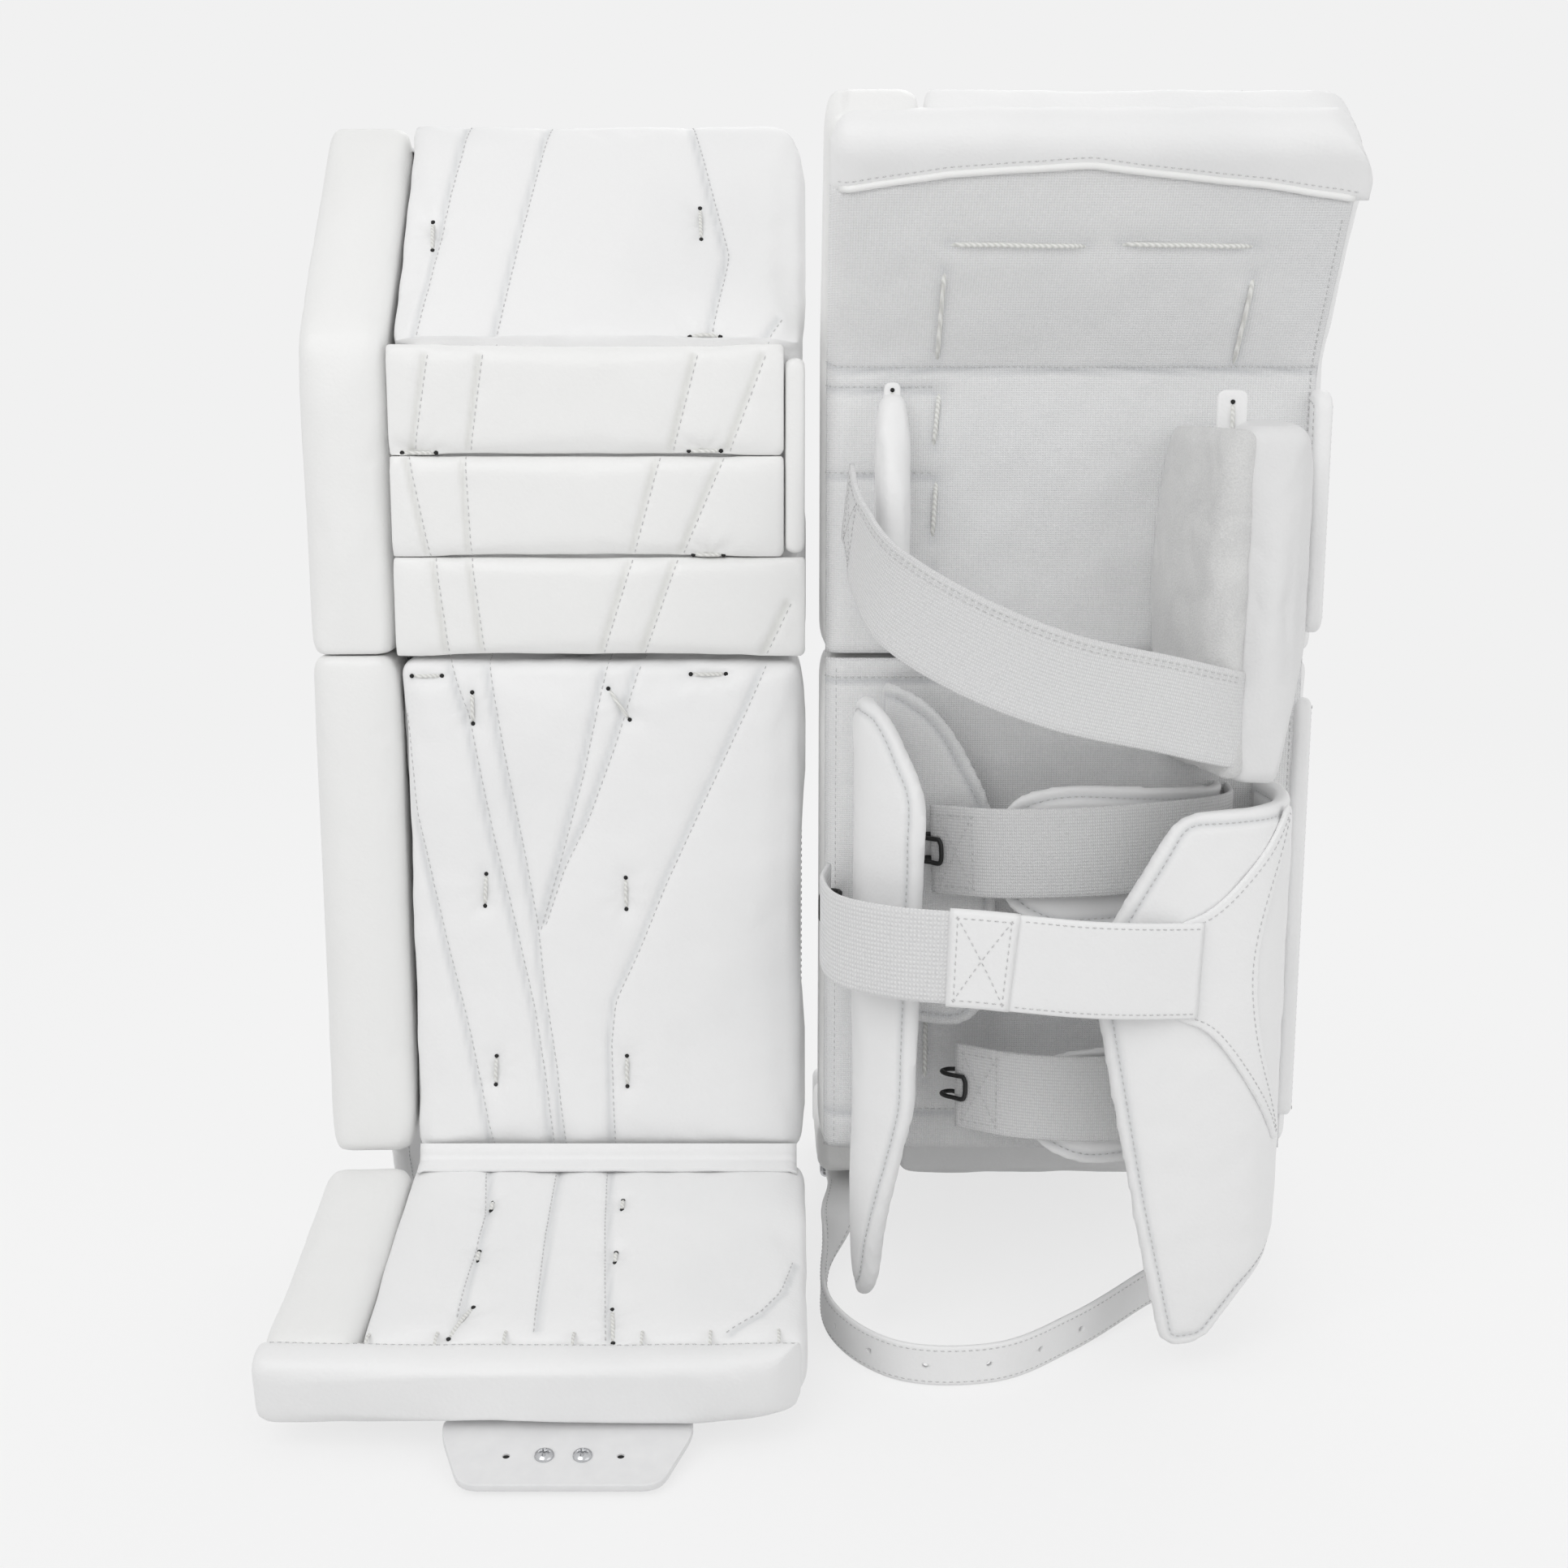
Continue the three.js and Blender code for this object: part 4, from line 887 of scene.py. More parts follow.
def backSheet(lowAt, topAt, lines, lacePairs, seed, inner=back["inner"], merge=0):
    xs = np.linspace(back["outer"], inner, int((inner - back["outer"]) / back["step"]) + 1)
    low, top = (np.array([edge(value) for value in xs]) for edge in (lowAt, topAt))
    rows = int((top - low).max() / back["step"]) + 1
    share = np.linspace(0, 1, rows)
    x = np.tile(xs, rows)
    s = (low + share[:, None] * (top - low)[None, :]).ravel()
    at = np.c_[x, s]
    fromEdge = np.minimum.reduce([x - back["outer"], inner - x, s - np.tile(low, rows), np.tile(top, rows) - s])
    away = distanceToLines(at, lines) if len(lines) else np.full(len(x), 99.0)
    near = np.clip(fromEdge / back["edge"], 0, 1)
    rise = np.sqrt(near * (2 - near))
    off = 1.2 + (back["proud"] - 1.2) * rise + back["billow"] * np.clip(np.minimum(fromEdge, away) / 40, 0, 1) ** 0.6
    flat = np.c_[at, np.zeros(len(at))]
    off += 0.3 * ripple(flat, 34, seed) * rise + 0.12 * ripple(flat, 12, seed + 1) * rise
    off -= 1.6 * np.exp(-(away / 3.0) ** 2) * rise
    # painted shade along the quilt lines and, fainter, round the laces
    paintedShade = np.exp(-(away / 2.0) ** 2)
    for a, b in lacePairs:
        near = distanceToLines(at, [(a, b)])
        off -= 1.5 * np.exp(-(near / 6) ** 2)
        paintedShade = np.maximum(paintedShade, 0.6 * np.exp(-(near / 3) ** 2))
    off -= 6 * np.clip((back["outer"] + back["wrapRound"] - x) / back["wrapRound"], 0, 1) ** 2
    if merge:  # the far edge sinks into the cover, which carries on over the top
        off -= 6 * np.clip(1 - (np.tile(top, rows) - s) / merge, 0, 1) ** 2
    upper = legSide(x, s, off)
    lower = legSide(x, s, np.minimum(off - 1.5, -1.0))
    return (np.concatenate([upper, lower]), sheetFaces(rows, len(xs))), np.r_[paintedShade, paintedShade]


def bandEdge(x):
    return 159 + float(np.interp(x, (-137, -77, -6, 91, 132), (107, 117, 122, 110, 103)))


quiltLines = {
    "thigh": [[(-137, 147), (-80, 147)], [(-137, 100), (-80, 100)], [(-137, 159), (132, 159)]],
    "shin": [[(-137, -14), (128, -14)], [(-137, -270), (128, -270)]],
}
backLaces = {
    "thigh": [((-75, 237), (-2, 236)), ((14, 237), (85, 236)), ((-76, 222), (-77, 165)), ((87, 218), (85, 162)),
              ((-75, 147), (-78, 115)), ((-76, 99), (-78, 65)), ((-77, 51), (-77, 20))],
    "shin": [((-78, -40), (-78, -80)), ((-78, -210), (-78, -250))],
}
thighBack, thighBackShade = backSheet(lambda x: 1.4, bandEdge, quiltLines["thigh"], backLaces["thigh"], 51)
place("thigh_nylon_back", thighBack, "thigh", "nylon", ("thigh_back_panel",), thighBackShade)
shinBack, shinBackShade = backSheet(lambda x: -293, lambda x: -1.4, quiltLines["shin"], backLaces["shin"], 57)
place("shin_nylon_back", shinBack, "shin", "nylon", ("shin_back_panel",), shinBackShade)
bandTop = {"at": 318, "radius": 16}


def bandEnd(x):
    past = max(0, abs(x - 1) - 137 + bandTop["radius"])
    return bandTop["at"] - bandTop["radius"] + math.sqrt(max(bandTop["radius"] ** 2 - past ** 2, 0))


# Above the nylon, a leather band covers the whole width of the thigh.
topBand, bandShade = backSheet(lambda x: bandEdge(x) - 2, bandEnd, [], [], 53, 139.5, 14)
for edge, radius in ((pad["inner"] + 0.5, 42), (pad["outer"] - 0.5, 12)):
    topBand = cornered(topBand[0], faces["thigh"], edge, thighEnd + 4, radius), topBand[1]
place("thigh_top_band", topBand, "thigh", "wrapLeather", seam=bandShade)
backSurfaces = {"thigh": surfaceOf(thighBack, topBand), "shin": surfaceOf(shinBack)}


def onBack(body, line, proud=0.2, step=3.0):
    out = []
    for x, s in spaced(line, step):
        far, near = legSide(np.array([x, x]), np.array([s, s]), np.array([40.0, 0.0]))
        hit = backSurfaces[body].ray_cast(Vector(far), Vector(near - far).normalized(), 70)[0]
        if hit is not None:
            out.append(np.array(hit) + (far - near) / 40 * proud)
    return np.array(out)


for body in ("thigh", "shin"):
    for line in quiltLines[body]:
        # the shin's low row is sewn only between the wraps
        sewnLine = [(-88, line[0][1]), (64, line[0][1])] if line[0][1] < -200 else line
        stitch(body, onBack(body, beside(spaced(sewnLine, 10), 2)))
    for a, b in backLaces[body]:
        ends = onBack(body, [a, b], 0.0, 400)
        middle = onBack(body, spaced([a, b], 8), 0.9, 8)
        laceRuns.setdefault(body, []).append(tube(np.r_[ends[:1] - (0, 2, 0), middle[1:-1], ends[1:] - (0, 2, 0)], 1.3))
edgeLine = [(x, bandEdge(x) + 0.6) for x in np.linspace(-132, 131, 40)]
place("thigh_band_piping", tube(onBack("thigh", edgeLine, 0.6, 5), 1.9, 10), "thigh", "rollLeather")
stitch("thigh", onBack("thigh", [(x, s + 4) for x, s in edgeLine]), onBack("thigh", [(126, 8), (128, 150), (127, 250)]))
stitch("shin", onBack("shin", [(-131, -8), (-131, -288)]), onBack("shin", [(126, -8), (126, -288)]))
print("leg side covered")


# Sews a row round a wrap, in from its edge, on both faces.
def wrapEdge(body, shape, outline, plan, inwards, radius):
    surface = surfaceOf(shape)
    ring = roundedOutline(insetOutline(outline, inwards), radius)
    ring = spaced(np.r_[ring, ring[:1]], 3)
    for way in (-1, 1):
        row = []
        for s, z in ring:
            far = bent(np.array([[s, 20.0 * way, z]]), plan)[0]
            near = bent(np.array([[s, 0.0, z]]), plan)[0]
            hit = surface.ray_cast(Vector(far), Vector(near - far).normalized(), 30)[0]
            if hit is not None and s > 17:
                row.append(np.array(hit) + (far - near) / 20 * 0.2)
            elif len(row) > 1:
                stitch(body, np.array(row))
                row = []
        stitch(body, np.array(row))


def grooved(shape, outline, inwards, radius, depth):
    # a bound edge: the leather dips along the row of stitches, and the second value it returns is painted shade in that
    # dip
    verts, meshFaces = shape
    ring = roundedOutline(insetOutline(outline, inwards), radius)
    away = distanceToLines(verts[:, [0, 2]], [np.r_[ring, ring[:1]]])
    dip = depth * np.exp(-(away / 2.4) ** 2)
    verts = verts.copy()
    verts[:, 1] -= np.sign(verts[:, 1]) * np.minimum(dip, np.abs(verts[:, 1]) * 0.6)
    return (verts, meshFaces), np.exp(-(away / 1.8) ** 2)


for name, seed in (("outer", 61), ("inner", 67)):
    plan, outline = wraps[f"{name}Plan"], wraps[f"{name}Leaf"]
    flat, paintedShade = grooved(surfaced(f"{name}Wrap", 0.35, seed), outline, 8, 14, 1.1)
    shape = bent(flat[0], plan), flat[1]
    place(f"calf_wrap_{name}_padding", shape, f"calf_{name}", "wrapLeather", (f"calf_wrap_{name}",),
          paintedShade)
    wrapEdge(f"calf_{name}", shape, outline, plan, 8, 14)

lining = {
    "plan": [(-103, 27.5), (-99, 41), (-86, 51), (-66, 56), (-46, 58)], "thickness": 6.5,
    "leaf": [(1, -204, 4), (60, -210, 16), (76, -190, 16), (77, -84, 26), (46, -28, 24), (22, -14, 14), (1, -14, 4)],
}
flat = remeshed(loft(lining["leaf"], 14, -lining["thickness"] / 2, lining["thickness"] / 2, 3.4, "y"), 3)
flat, paintedShade = grooved(subdivided(flat), lining["leaf"], 7, 12, 0.9)
liningShape = bent(flat[0], lining["plan"]), flat[1]
place("calf_lining_flap", liningShape, "calf_outer", "nylon", seam=paintedShade)
wrapEdge("calf_outer", liningShape, lining["leaf"], lining["plan"], 7, 12)

place("knee_wing_padding", surfaced("wing", 0.25, 71), "knee_wing", "wrapLeather", ("knee_wing",))


# The knee stack's foot narrows towards the leg and stays off the shin.
def footed(verts):
    verts = verts.copy()
    z = verts[:, 2]
    limit = np.interp(z, (-56, 20), (98, 118))
    verts[:, 0] = np.where(verts[:, 0] > limit - 6, limit - 6 + (verts[:, 0] - limit + 6) * 0.3, verts[:, 0])
    foot = np.clip((6 - z) / 4, 0, 1)
    verts[:, 1] = np.maximum(verts[:, 1], 28 + foot * 4.8)
    return verts


def bellied(verts):
    # the lining swells away from the block half way down
    verts = verts.copy()
    verts[:, 0] -= 9 * np.sin(np.pi * np.clip((verts[:, 2] + 52) / 184, 0, 1)) * np.clip((84 - verts[:, 0]) / 30, 0, 1)
    return footed(verts)


blockShape = surfaced("stackBlock", 0.4, 73)
blockShape = footed(fitted(blockShape[0], y=(27, 131), z=(-57, 131.5))), blockShape[1]
stackLining = surfaced("stackLining", 0.35, 79)
stackLining = bellied(fitted(stackLining[0], y=(27.4, 130.6), z=(-52, 128))), stackLining[1]
place("knee_stack_block", blockShape, "knee_stack", "stackLeather", ("knee_stack",))
place("knee_stack_lining", stackLining, "knee_stack", "suede")

# A laced leather tab stands on the stack and on the wing.
for name, outline, low, high, x, laced in (
    ("knee_stack", [(66, 118, 2), (82, 118, 2), (82, 147, 5), (66, 147, 5)], 82, 85.5, 74, (140, 124)),
    ("knee_wing", [(-106, 130, 2), (-97, 130, 2), (-97, 151, 4), (-106, 151, 4)], 38, 41, -101.5, (146, 132)),
):
    place(f"{name}_tab", loft(outline, 4, -high, -low, 1.1, "y", 3), name, "wrapLeather")
    lace(name, *((x, high, z) for z in laced), (0, 1, 0), 1.0, 1.4)
print("wraps, wing and stack made")


# A flat strap along a line, with the ways its width runs; run and span are its own measures in metres.
def strapLine(points, turns=None):
    points = [np.array(p, float) for p in points]
    line, run = planLine(points, 14)
    across = planLine(turns, 14)[0] if turns else np.tile((0.0, 0.0, 1.0), (len(line), 1))
    ahead = np.gradient(line, run, axis=0)
    ahead /= np.linalg.norm(ahead, axis=1, keepdims=True)
    normal = np.cross(ahead, across)
    normal /= np.linalg.norm(normal, axis=1, keepdims=True)
    return {"line": line, "run": run, "ahead": ahead, "normal": normal, "across": np.cross(normal, ahead)}


def strapAt(track, at):
    return {key: np.c_[tuple(np.interp(at, track["run"], track[key][:, k]) for k in range(3))]
            for key in ("line", "ahead", "normal", "across")}


def ribbon(track, width, thickness, start=0.0, end=None, wave=0.15, seed=1):
    end = track["run"][-1] if end is None else end
    at = np.linspace(start, end, max(4, int((end - start) / 3.2)))
    found = strapAt(track, at)
    half, edge = width / 2, thickness / 2
    section = [(w * (half - edge), edge) for w in np.linspace(-1, 1, 13)]
    section += [(half - edge + edge * math.sin(t), edge * math.cos(t)) for t in (0.8, 1.57, 2.34)]
    section += [(w * (half - edge), -edge) for w in np.linspace(1, -1, 13)]
    section += [(-half + edge - edge * math.sin(t), -edge * math.cos(t)) for t in (0.8, 1.57, 2.34)]
    section = np.array(section)
    count = len(section)
    rings, run, span = [], [], []
    for i, value in enumerate(at):
        off = section[:, 1] + wave * math.sin(value / 9 + seed) * np.cos(section[:, 0] / 11)
        rings.append(found["line"][i] + found["across"][i] * section[:, :1] + found["normal"][i] * off[:, None])
        run += [value * mm] * count
        span += list(section[:, 0] * mm)
    meshFaces = [tuple(range(count)), tuple(range((len(at) - 1) * count, len(at) * count))[::-1]]
    meshFaces += [(a, d, c, b) for a, b, c, d in ringFaces(len(at), count)]
    return (np.concatenate(rings), meshFaces), np.array(run), np.array(span)


def strapRow(track, offset, start, end, lift):
    at = np.linspace(start, end, max(3, int((end - start) / 3)))
    found = strapAt(track, at)
    return found["line"] + found["across"] * offset + found["normal"] * lift


# A box of stitches with a cross in it, on both faces of a strap.
def boxStitch(body, track, start, end, half, lift):
    for way in (-1, 1):
        for a, b in (((start, -half), (start, half)), ((start, half), (end, half)), ((end, half), (end, -half)),
                     ((end, -half), (start, -half)), ((start, -half), (end, half)), ((start, half), (end, -half))):
            at = np.linspace(a[0], b[0], 14)
            found = strapAt(track, at)
            offset = np.linspace(a[1], b[1], 14)[:, None]
            stitch(body, found["line"] + found["across"] * offset + found["normal"] * lift * way)


# A coated wire hook: a closed loop whose nose turns back.
hook = {"width": 16, "wire": 1.35}


def wireHook(track):
    end = strapAt(track, np.array([track["run"][-1]]))
    at, ahead, across = end["line"][0], end["ahead"][0].copy(), end["across"][0]
    ahead[2] = 0
    ahead /= np.linalg.norm(ahead)
    side = np.array((-ahead[1], ahead[0], 0))
    clear = 1.5 + hook["wire"] + 0.8
    half = hook["width"] / 2 - hook["wire"]
    profile = [(-6, -clear), (0, -clear), (4.5, -clear + 0.4), (7.6, -clear + 2.0), (8.9, 0), (8.2, clear),
               (5.2, clear + 2.4), (2.6, clear + 2.7)]
    one = [(a, o, half) for a, o in profile]
    nose = [(1.4, clear + 2.7, half * 0.55), (1.1, clear + 2.7, 0), (1.4, clear + 2.7, -half * 0.55)]
    other = [(a, o, -half) for a, o in reversed(profile)]
    base = [(-7.2, -clear, -half * 0.6), (-7.4, -clear, 0), (-7.2, -clear, half * 0.6)]
    points = [at + ahead * a + side * o + across * w for a, o, w in one + nose + other + base]
    smooth, _ = planLine(points + points[:1], 4)
    return tube(smooth[:-1], hook["wire"], 8, True)


elastic = {"width": 50, "thickness": 3}
kneeTrack = strapLine([(82, 114, -21), (74, 127, -20.4), (60, 134.5, -17), (36, 139, -11), (-20, 146, 2),
                       (-70, 144, 22), (-106, 126, 44), (-121, 96, 66), (-126, 62, 88)])
kneeStrap, run, span = ribbon(kneeTrack, **elastic, seed=2)
place("knee_strap_elastic", kneeStrap, "knee_strap", "elastic", ("knee_strap",), run=run, span=span)
kneeEnd = kneeTrack["run"][-1]
boxStitch("knee_strap", kneeTrack, kneeEnd - 30, kneeEnd - 6, 20, 1.75)
stitch("knee_strap", *(strapRow(kneeTrack, w, 24, kneeEnd - 34, 1.7) for w in (21.5, 19)))
calfTracks = {
    "upper": strapLine([(92, 26.4, -97), (86, 60, -97), (50, 84, -97), (0, 92, -99), (-45, 86, -101), (-78, 66, -103)]),
    "lower": strapLine([(92, 26.4, -243), (86, 54, -243), (55, 74, -243), (10, 82, -243), (-30, 76, -243),
                        (-62, 58, -243)]),
}
for name, track in calfTracks.items():
    body = f"calf_strap_{name}"
    calfStrap, run, span = ribbon(track, **elastic, seed=4 if name == "upper" else 6)
    place(f"{body}_elastic", calfStrap, body, "elastic", (body,), run=run, span=span)
    place(f"{body}_wire_hook", wireHook(track), body, "black", (f"{body}_hook",))
    end = track["run"][-1]
    boxStitch(body, track, end - 26, end - 5, 20, 1.75)

# Behind each calf strap lies a padded tab, wider than the strap and rounded at its end.
tabs = {
    "upper": {"plan": [(85, 27), (79, 54), (46, 76), (0, 83), (-44, 78)], "low": -146, "high": -62},
    "lower": {"plan": [(85, 27), (79, 49), (52, 66), (10, 74), (-24, 69)], "low": -286, "high": -214},
}
for name, tab in tabs.items():
    end = planLine(tab["plan"])[1][-1]
    low, high = tab["low"], tab["high"]
    leaf = [(2, low + 8, 6), (end - 30, low, 20), (end, low + 16, 24), (end, high - 12, 26), (end - 34, high, 24),
            (2, high - 8, 6)]
    flat = remeshed(loft(leaf, 16, -3, 3, 2.6, "y"), 2.6)
    flat, paintedShade = grooved(subdivided(flat), leaf, 6.5, 14, 0.9)
    tabShape = bent(flat[0], tab["plan"]), flat[1]
    place(f"calf_strap_{name}_padded_tab", tabShape, f"calf_strap_{name}", "wrapLeather", seam=paintedShade)
    wrapEdge(f"calf_strap_{name}", tabShape, leaf, tab["plan"], 6.5, 14)

innerLine, innerRun = planLine(wraps["innerPlan"])


def offInner(share, away):
    at = share * innerRun[-1]
    ahead = np.array([np.interp(at, innerRun, np.gradient(innerLine[:, k], innerRun)) for k in (0, 1)])
    ahead /= np.linalg.norm(ahead)
    here = [np.interp(at, innerRun, innerLine[:, k]) for k in (0, 1)]
    return here[0] + ahead[1] * away, here[1] - ahead[0] * away


outer = {"leather": 52, "webbing": 50, "patchWidth": 53, "thickness": 3, "away": 7.4, "patch": (-74, -44)}
outerTrack = strapLine([
    (*offInner(0.58, outer["away"]), -153), (*offInner(0.72, outer["away"] + 3), -152), (0, 151, -148),
    (-60, 152, -142), (-104, 142, -141), (-132, 112, -142), (-139, 74, -142), (-135, 40, -142),
])
# how far along the strap the patch's ends are; the strap passes them once where it runs behind the leg
behind = np.where(outerTrack["line"][:, 1] < 120, 500, 0)
patchRun = [float(outerTrack["run"][np.argmin(np.abs(outerTrack["line"][:, 0] - x) + behind)]) for x in outer["patch"]]
leatherPart, _, _ = ribbon(outerTrack, outer["leather"], outer["thickness"], 26, patchRun[0] - 2, seed=3)
yoke = {"off": -7.4, "leaf": [
    (150, -179, 5), (150, -127, 5), (130, -120, 20), (104, -94, 30), (84, -68, 5), (78, -74, 5), (97, -118, 40),
    (105, -156, 50), (98, -202, 40), (76, -254, 5), (82, -260, 5), (110, -214, 40), (130, -187, 20)]}
flat = remeshed(loft(yoke["leaf"], 6, -1.3, 1.3, 0.7, "y", 2), 1.25)
yokeShape = bent(flat[0] + (0, yoke["off"], 0), wraps["innerPlan"]), flat[1]
place("outer_strap_yoke", yokeShape, "calf_inner", "wrapLeather")
wrapEdge("calf_inner", yokeShape, yoke["leaf"], wraps["innerPlan"], 4, 8)
webbingPart, run, span = ribbon(outerTrack, outer["webbing"], outer["thickness"], patchRun[1] + 3, seed=5)
place("outer_strap_leather", leatherPart, "outer_strap", "wrapLeather", ("outer_strap",))
place("outer_strap_webbing", webbingPart, "outer_strap", "webbing", run=run, span=span)
patchShape, _, _ = ribbon(outerTrack, outer["patchWidth"], 5.4, patchRun[1] - 2, patchRun[0] + 2, wave=0)
place("outer_strap_patch", patchShape, "outer_strap", "wrapLeather")
boxStitch("outer_strap", outerTrack, patchRun[1] + 2, patchRun[0] - 2, 22, 2.9)
place("outer_strap_wire_hook", wireHook(outerTrack), "outer_strap", "black", ("outer_strap_hook",))
stitch("outer_strap", *(strapRow(outerTrack, w, 30, patchRun[1] - 6, lift) for w in (-23, 23) for lift in (-1.7, 1.7)))
print("straps made")

# The holed leather strap under the heel and its roller buckle.
heel = {"width": 23, "thickness": 3, "holes": 7, "hole": 1.6, "spacing": 0.055, "middle": 0.56, "loop": -371,
        "buckle": (-122, -62), "clear": 0.7, "wire": 1.5}


def sole(x, offSole, fromCrease):
    return bootPoint([(x, pad["bootDepth"] + offSole, -fromCrease)])[0]


soleWay = bootPoint([(1, 0, 0)])[0] - bootPoint([(0, 0, 0)])[0]
under = 0.4 + heel["thickness"] + heel["clear"] + heel["wire"]
loopPoints = [(84, 26, 10), (44, 66, 4), (0, 108, 0), (-46, 143, 0), (-98, 141, 0), (-133, 92, 0), (-136, 30, 6)]
heelPoints = [
    *((sole(*point), soleWay) for point in ((106, 1.9, 78), (106, 2.4, 40), (104, 4.9, 8))),
    *(((x, y, heel["loop"] + rise), (0, 0, 1)) for x, y, rise in loopPoints),
    *((sole(*point), -soleWay) for point in ((-122, under + 2, 8), (-122, under, 40), (-122, under, 76))),
]
heelTrack = strapLine([p for p, _ in heelPoints], [t for _, t in heelPoints])
heelStrap, _, _ = ribbon(heelTrack, heel["width"], heel["thickness"], wave=0.05)
obj = looseObject("heelStrap", heelStrap)
drills = []
for k in range(heel["holes"]):
    share = heel["middle"] + (k - 3) * heel["spacing"]
    found = strapAt(heelTrack, np.array([share * heelTrack["run"][-1]]))
    spot, through = found["line"][0], found["normal"][0] * 6
    drills.append(tube([spot - through, spot, spot + through], heel["hole"], 14))
cutter = looseObject("heelDrills", joined(*drills))
cut = obj.modifiers.new("holes", "BOOLEAN")
cut.object, cut.operation, cut.solver = cutter, "DIFFERENCE", "EXACT"
heelStrap = shapeOf(obj)
bpy.data.objects.remove(cutter)
place("boot_strap_leather", heelStrap, "boot_strap", "wrapLeather", ("boot_strap",))
heelEnd = heelTrack["run"][-1]
stitch("boot_strap", *(strapRow(heelTrack, w, 30, heelEnd - 60, lift) for w in (-9, 9) for lift in (-1.6, 1.6)))
boxStitch("boot_strap", heelTrack, 3, 24, 8.5, 1.75)

wire = heel["wire"]
halfWide, halfTall = heel["width"] / 2 + 2.2, heel["thickness"] / 2 + heel["clear"] + wire
corners = [(halfWide, -halfTall), (halfWide, halfTall), (-halfWide, halfTall), (-halfWide, -halfTall)]
loop = np.array([(*p, 0.0) for p in roundedOutline(corners, 3, 6)])
tongue, tongueFaces = tube([(0, -halfTall - 0.4, -5.5), (0, -halfTall - 1.2, 0), (0, -halfTall - 0.4, 6.2)], 1.1)
buckle = joined(
    *(tube(loop + (0, 0, z), wire, 10, True) for z in (-5.5, 5.5)),
    *(tube([(x, 0, -5.5), (x, 0, 0), (x, 0, 5.5)], wire, 10) for x in (-halfWide, halfWide)),
    (tongue * (1, -1, 1), [f[::-1] for f in tongueFaces]),
)
spot = (heel["buckle"][0], pad["bootDepth"] + under, heel["buckle"][1])
place("boot_buckle_frame", (bootPoint(buckle[0] + spot), buckle[1]), "boot_strap", "steel", ("boot_buckle",))
print("heel strap and buckle made")

# The toe bridge plate: a moulded plate with four holes, its edges eased.
plate = {"centre": 18, "top": 126, "end": 98, "tuck": 12, "reach": 38, "thickness": 4, "hole": 2.3, "spacing": 19,
         "fromBoot": 17, "bevel": 0.5}
curve = bpy.data.curves.new("plateOutline", "CURVE")
curve.dimensions, curve.fill_mode = "2D", "BOTH"
curve.extrude, curve.bevel_depth = (plate["thickness"] / 2 - plate["bevel"]) * mm, plate["bevel"] * mm
curve.bevel_resolution = 2
toeEdge = -pad["bootLength"]
halfTop, halfEnd = plate["top"] / 2, plate["end"] / 2
corners = [(halfTop, toeEdge), (halfTop, toeEdge + plate["tuck"]), (-halfTop, toeEdge + plate["tuck"]),
           (-halfTop, toeEdge), (-halfEnd, toeEdge - plate["reach"]), (halfEnd, toeEdge - plate["reach"])]
rings = [roundedOutline(corners, 9, 6) + (plate["centre"], 0)]
holeSpots = [(plate["centre"] + (k - 1.5) * plate["spacing"], toeEdge - plate["fromBoot"]) for k in range(4)]
turn = np.arange(24) / 24 * 2 * math.pi
hole = np.c_[np.cos(turn), np.sin(turn)] * plate["hole"]
rings += [hole[::-1] + spot for spot in holeSpots]
for ring in rings:
    spline = curve.splines.new("POLY")
    spline.points.add(len(ring) - 1)
    for point, (x, y) in zip(spline.points, ring):
        point.co = (x * mm, y * mm, 0, 1)
    spline.use_cyclic_u = True
obj = bpy.data.objects.new("plateOutline", curve)
scene.collection.objects.link(obj)
bpy.context.view_layer.update()
flat = obj.evaluated_get(bpy.context.evaluated_depsgraph_get()).to_mesh()
plateFlat = np.array([v.co for v in flat.vertices]) / mm
plateFaces = [tuple(p.vertices) for p in flat.polygons]
bpy.data.objects.remove(obj)
plateFace = pad["bootDepth"] + 0.4
placedPlate = bootPoint(np.c_[plateFlat[:, 0], plateFace + plate["thickness"] / 2 - plateFlat[:, 2], plateFlat[:, 1]])
place("toe_plate", (placedPlate, plateFaces), "boot", "plastic", ("toe_bridge_plate",))
shadePlugs = []
# the two empty holes get dark plugs: painted shade inside them
for x, z in (holeSpots[0], holeSpots[3]):  # the two empty holes are dark inside
    shadePlugs.append(tube([(x, plateFace + inwards, z) for inwards in (1.2, 2.2, 3.4)], plate["hole"] + 0.2, 16))
shadePlugs = joined(*shadePlugs)
place("toe_plate_hole_shade", (bootPoint(shadePlugs[0]), shadePlugs[1]), "boot", "hole")


def crossHead():
    # a pan head with its cross recess, as one round grid, and the shank behind it
    radius, height, size = 5.0, 2.9, 41
    recess = {"half": 0.95, "reach": 2.9, "depth": 2.0}
    grid = np.linspace(-1, 1, size)
    u, v = (a.ravel() for a in np.meshgrid(grid, grid))
    reach = np.maximum(np.abs(u), np.abs(v))
    length = np.maximum(np.hypot(u, v), 1e-9)
    x, z = u / length * reach * radius, v / length * reach * radius
    away = np.hypot(x, z) / radius
    top = height * (1 - 0.72 * away ** 2.6) * np.where(away > 0.985, 0.25, 1)
    slot = np.clip(1 - np.minimum(np.abs(x), np.abs(z)) / recess["half"], 0, 1)
    slot *= np.maximum(np.abs(x), np.abs(z)) < recess["reach"]
    top = top - recess["depth"] * np.clip(slot * 3, 0, 1)
    corners = [i * size + k for i in range(size - 1) for k in range(size - 1)]
    meshFaces = [(a, a + 1, a + size + 1, a + size) for a in corners]
    rim = gridRim(size, size)
    start = len(x)
    verts = np.c_[x, -top, z]
    verts = np.r_[verts, np.c_[x[rim], np.zeros(len(rim)), z[rim]]]
    for k, a in enumerate(rim):
        after = (k + 1) % len(rim)
        meshFaces.append((a, start + k, start + after, rim[after]))
    meshFaces.append(tuple(range(start, start + len(rim)))[::-1])
    return verts, meshFaces


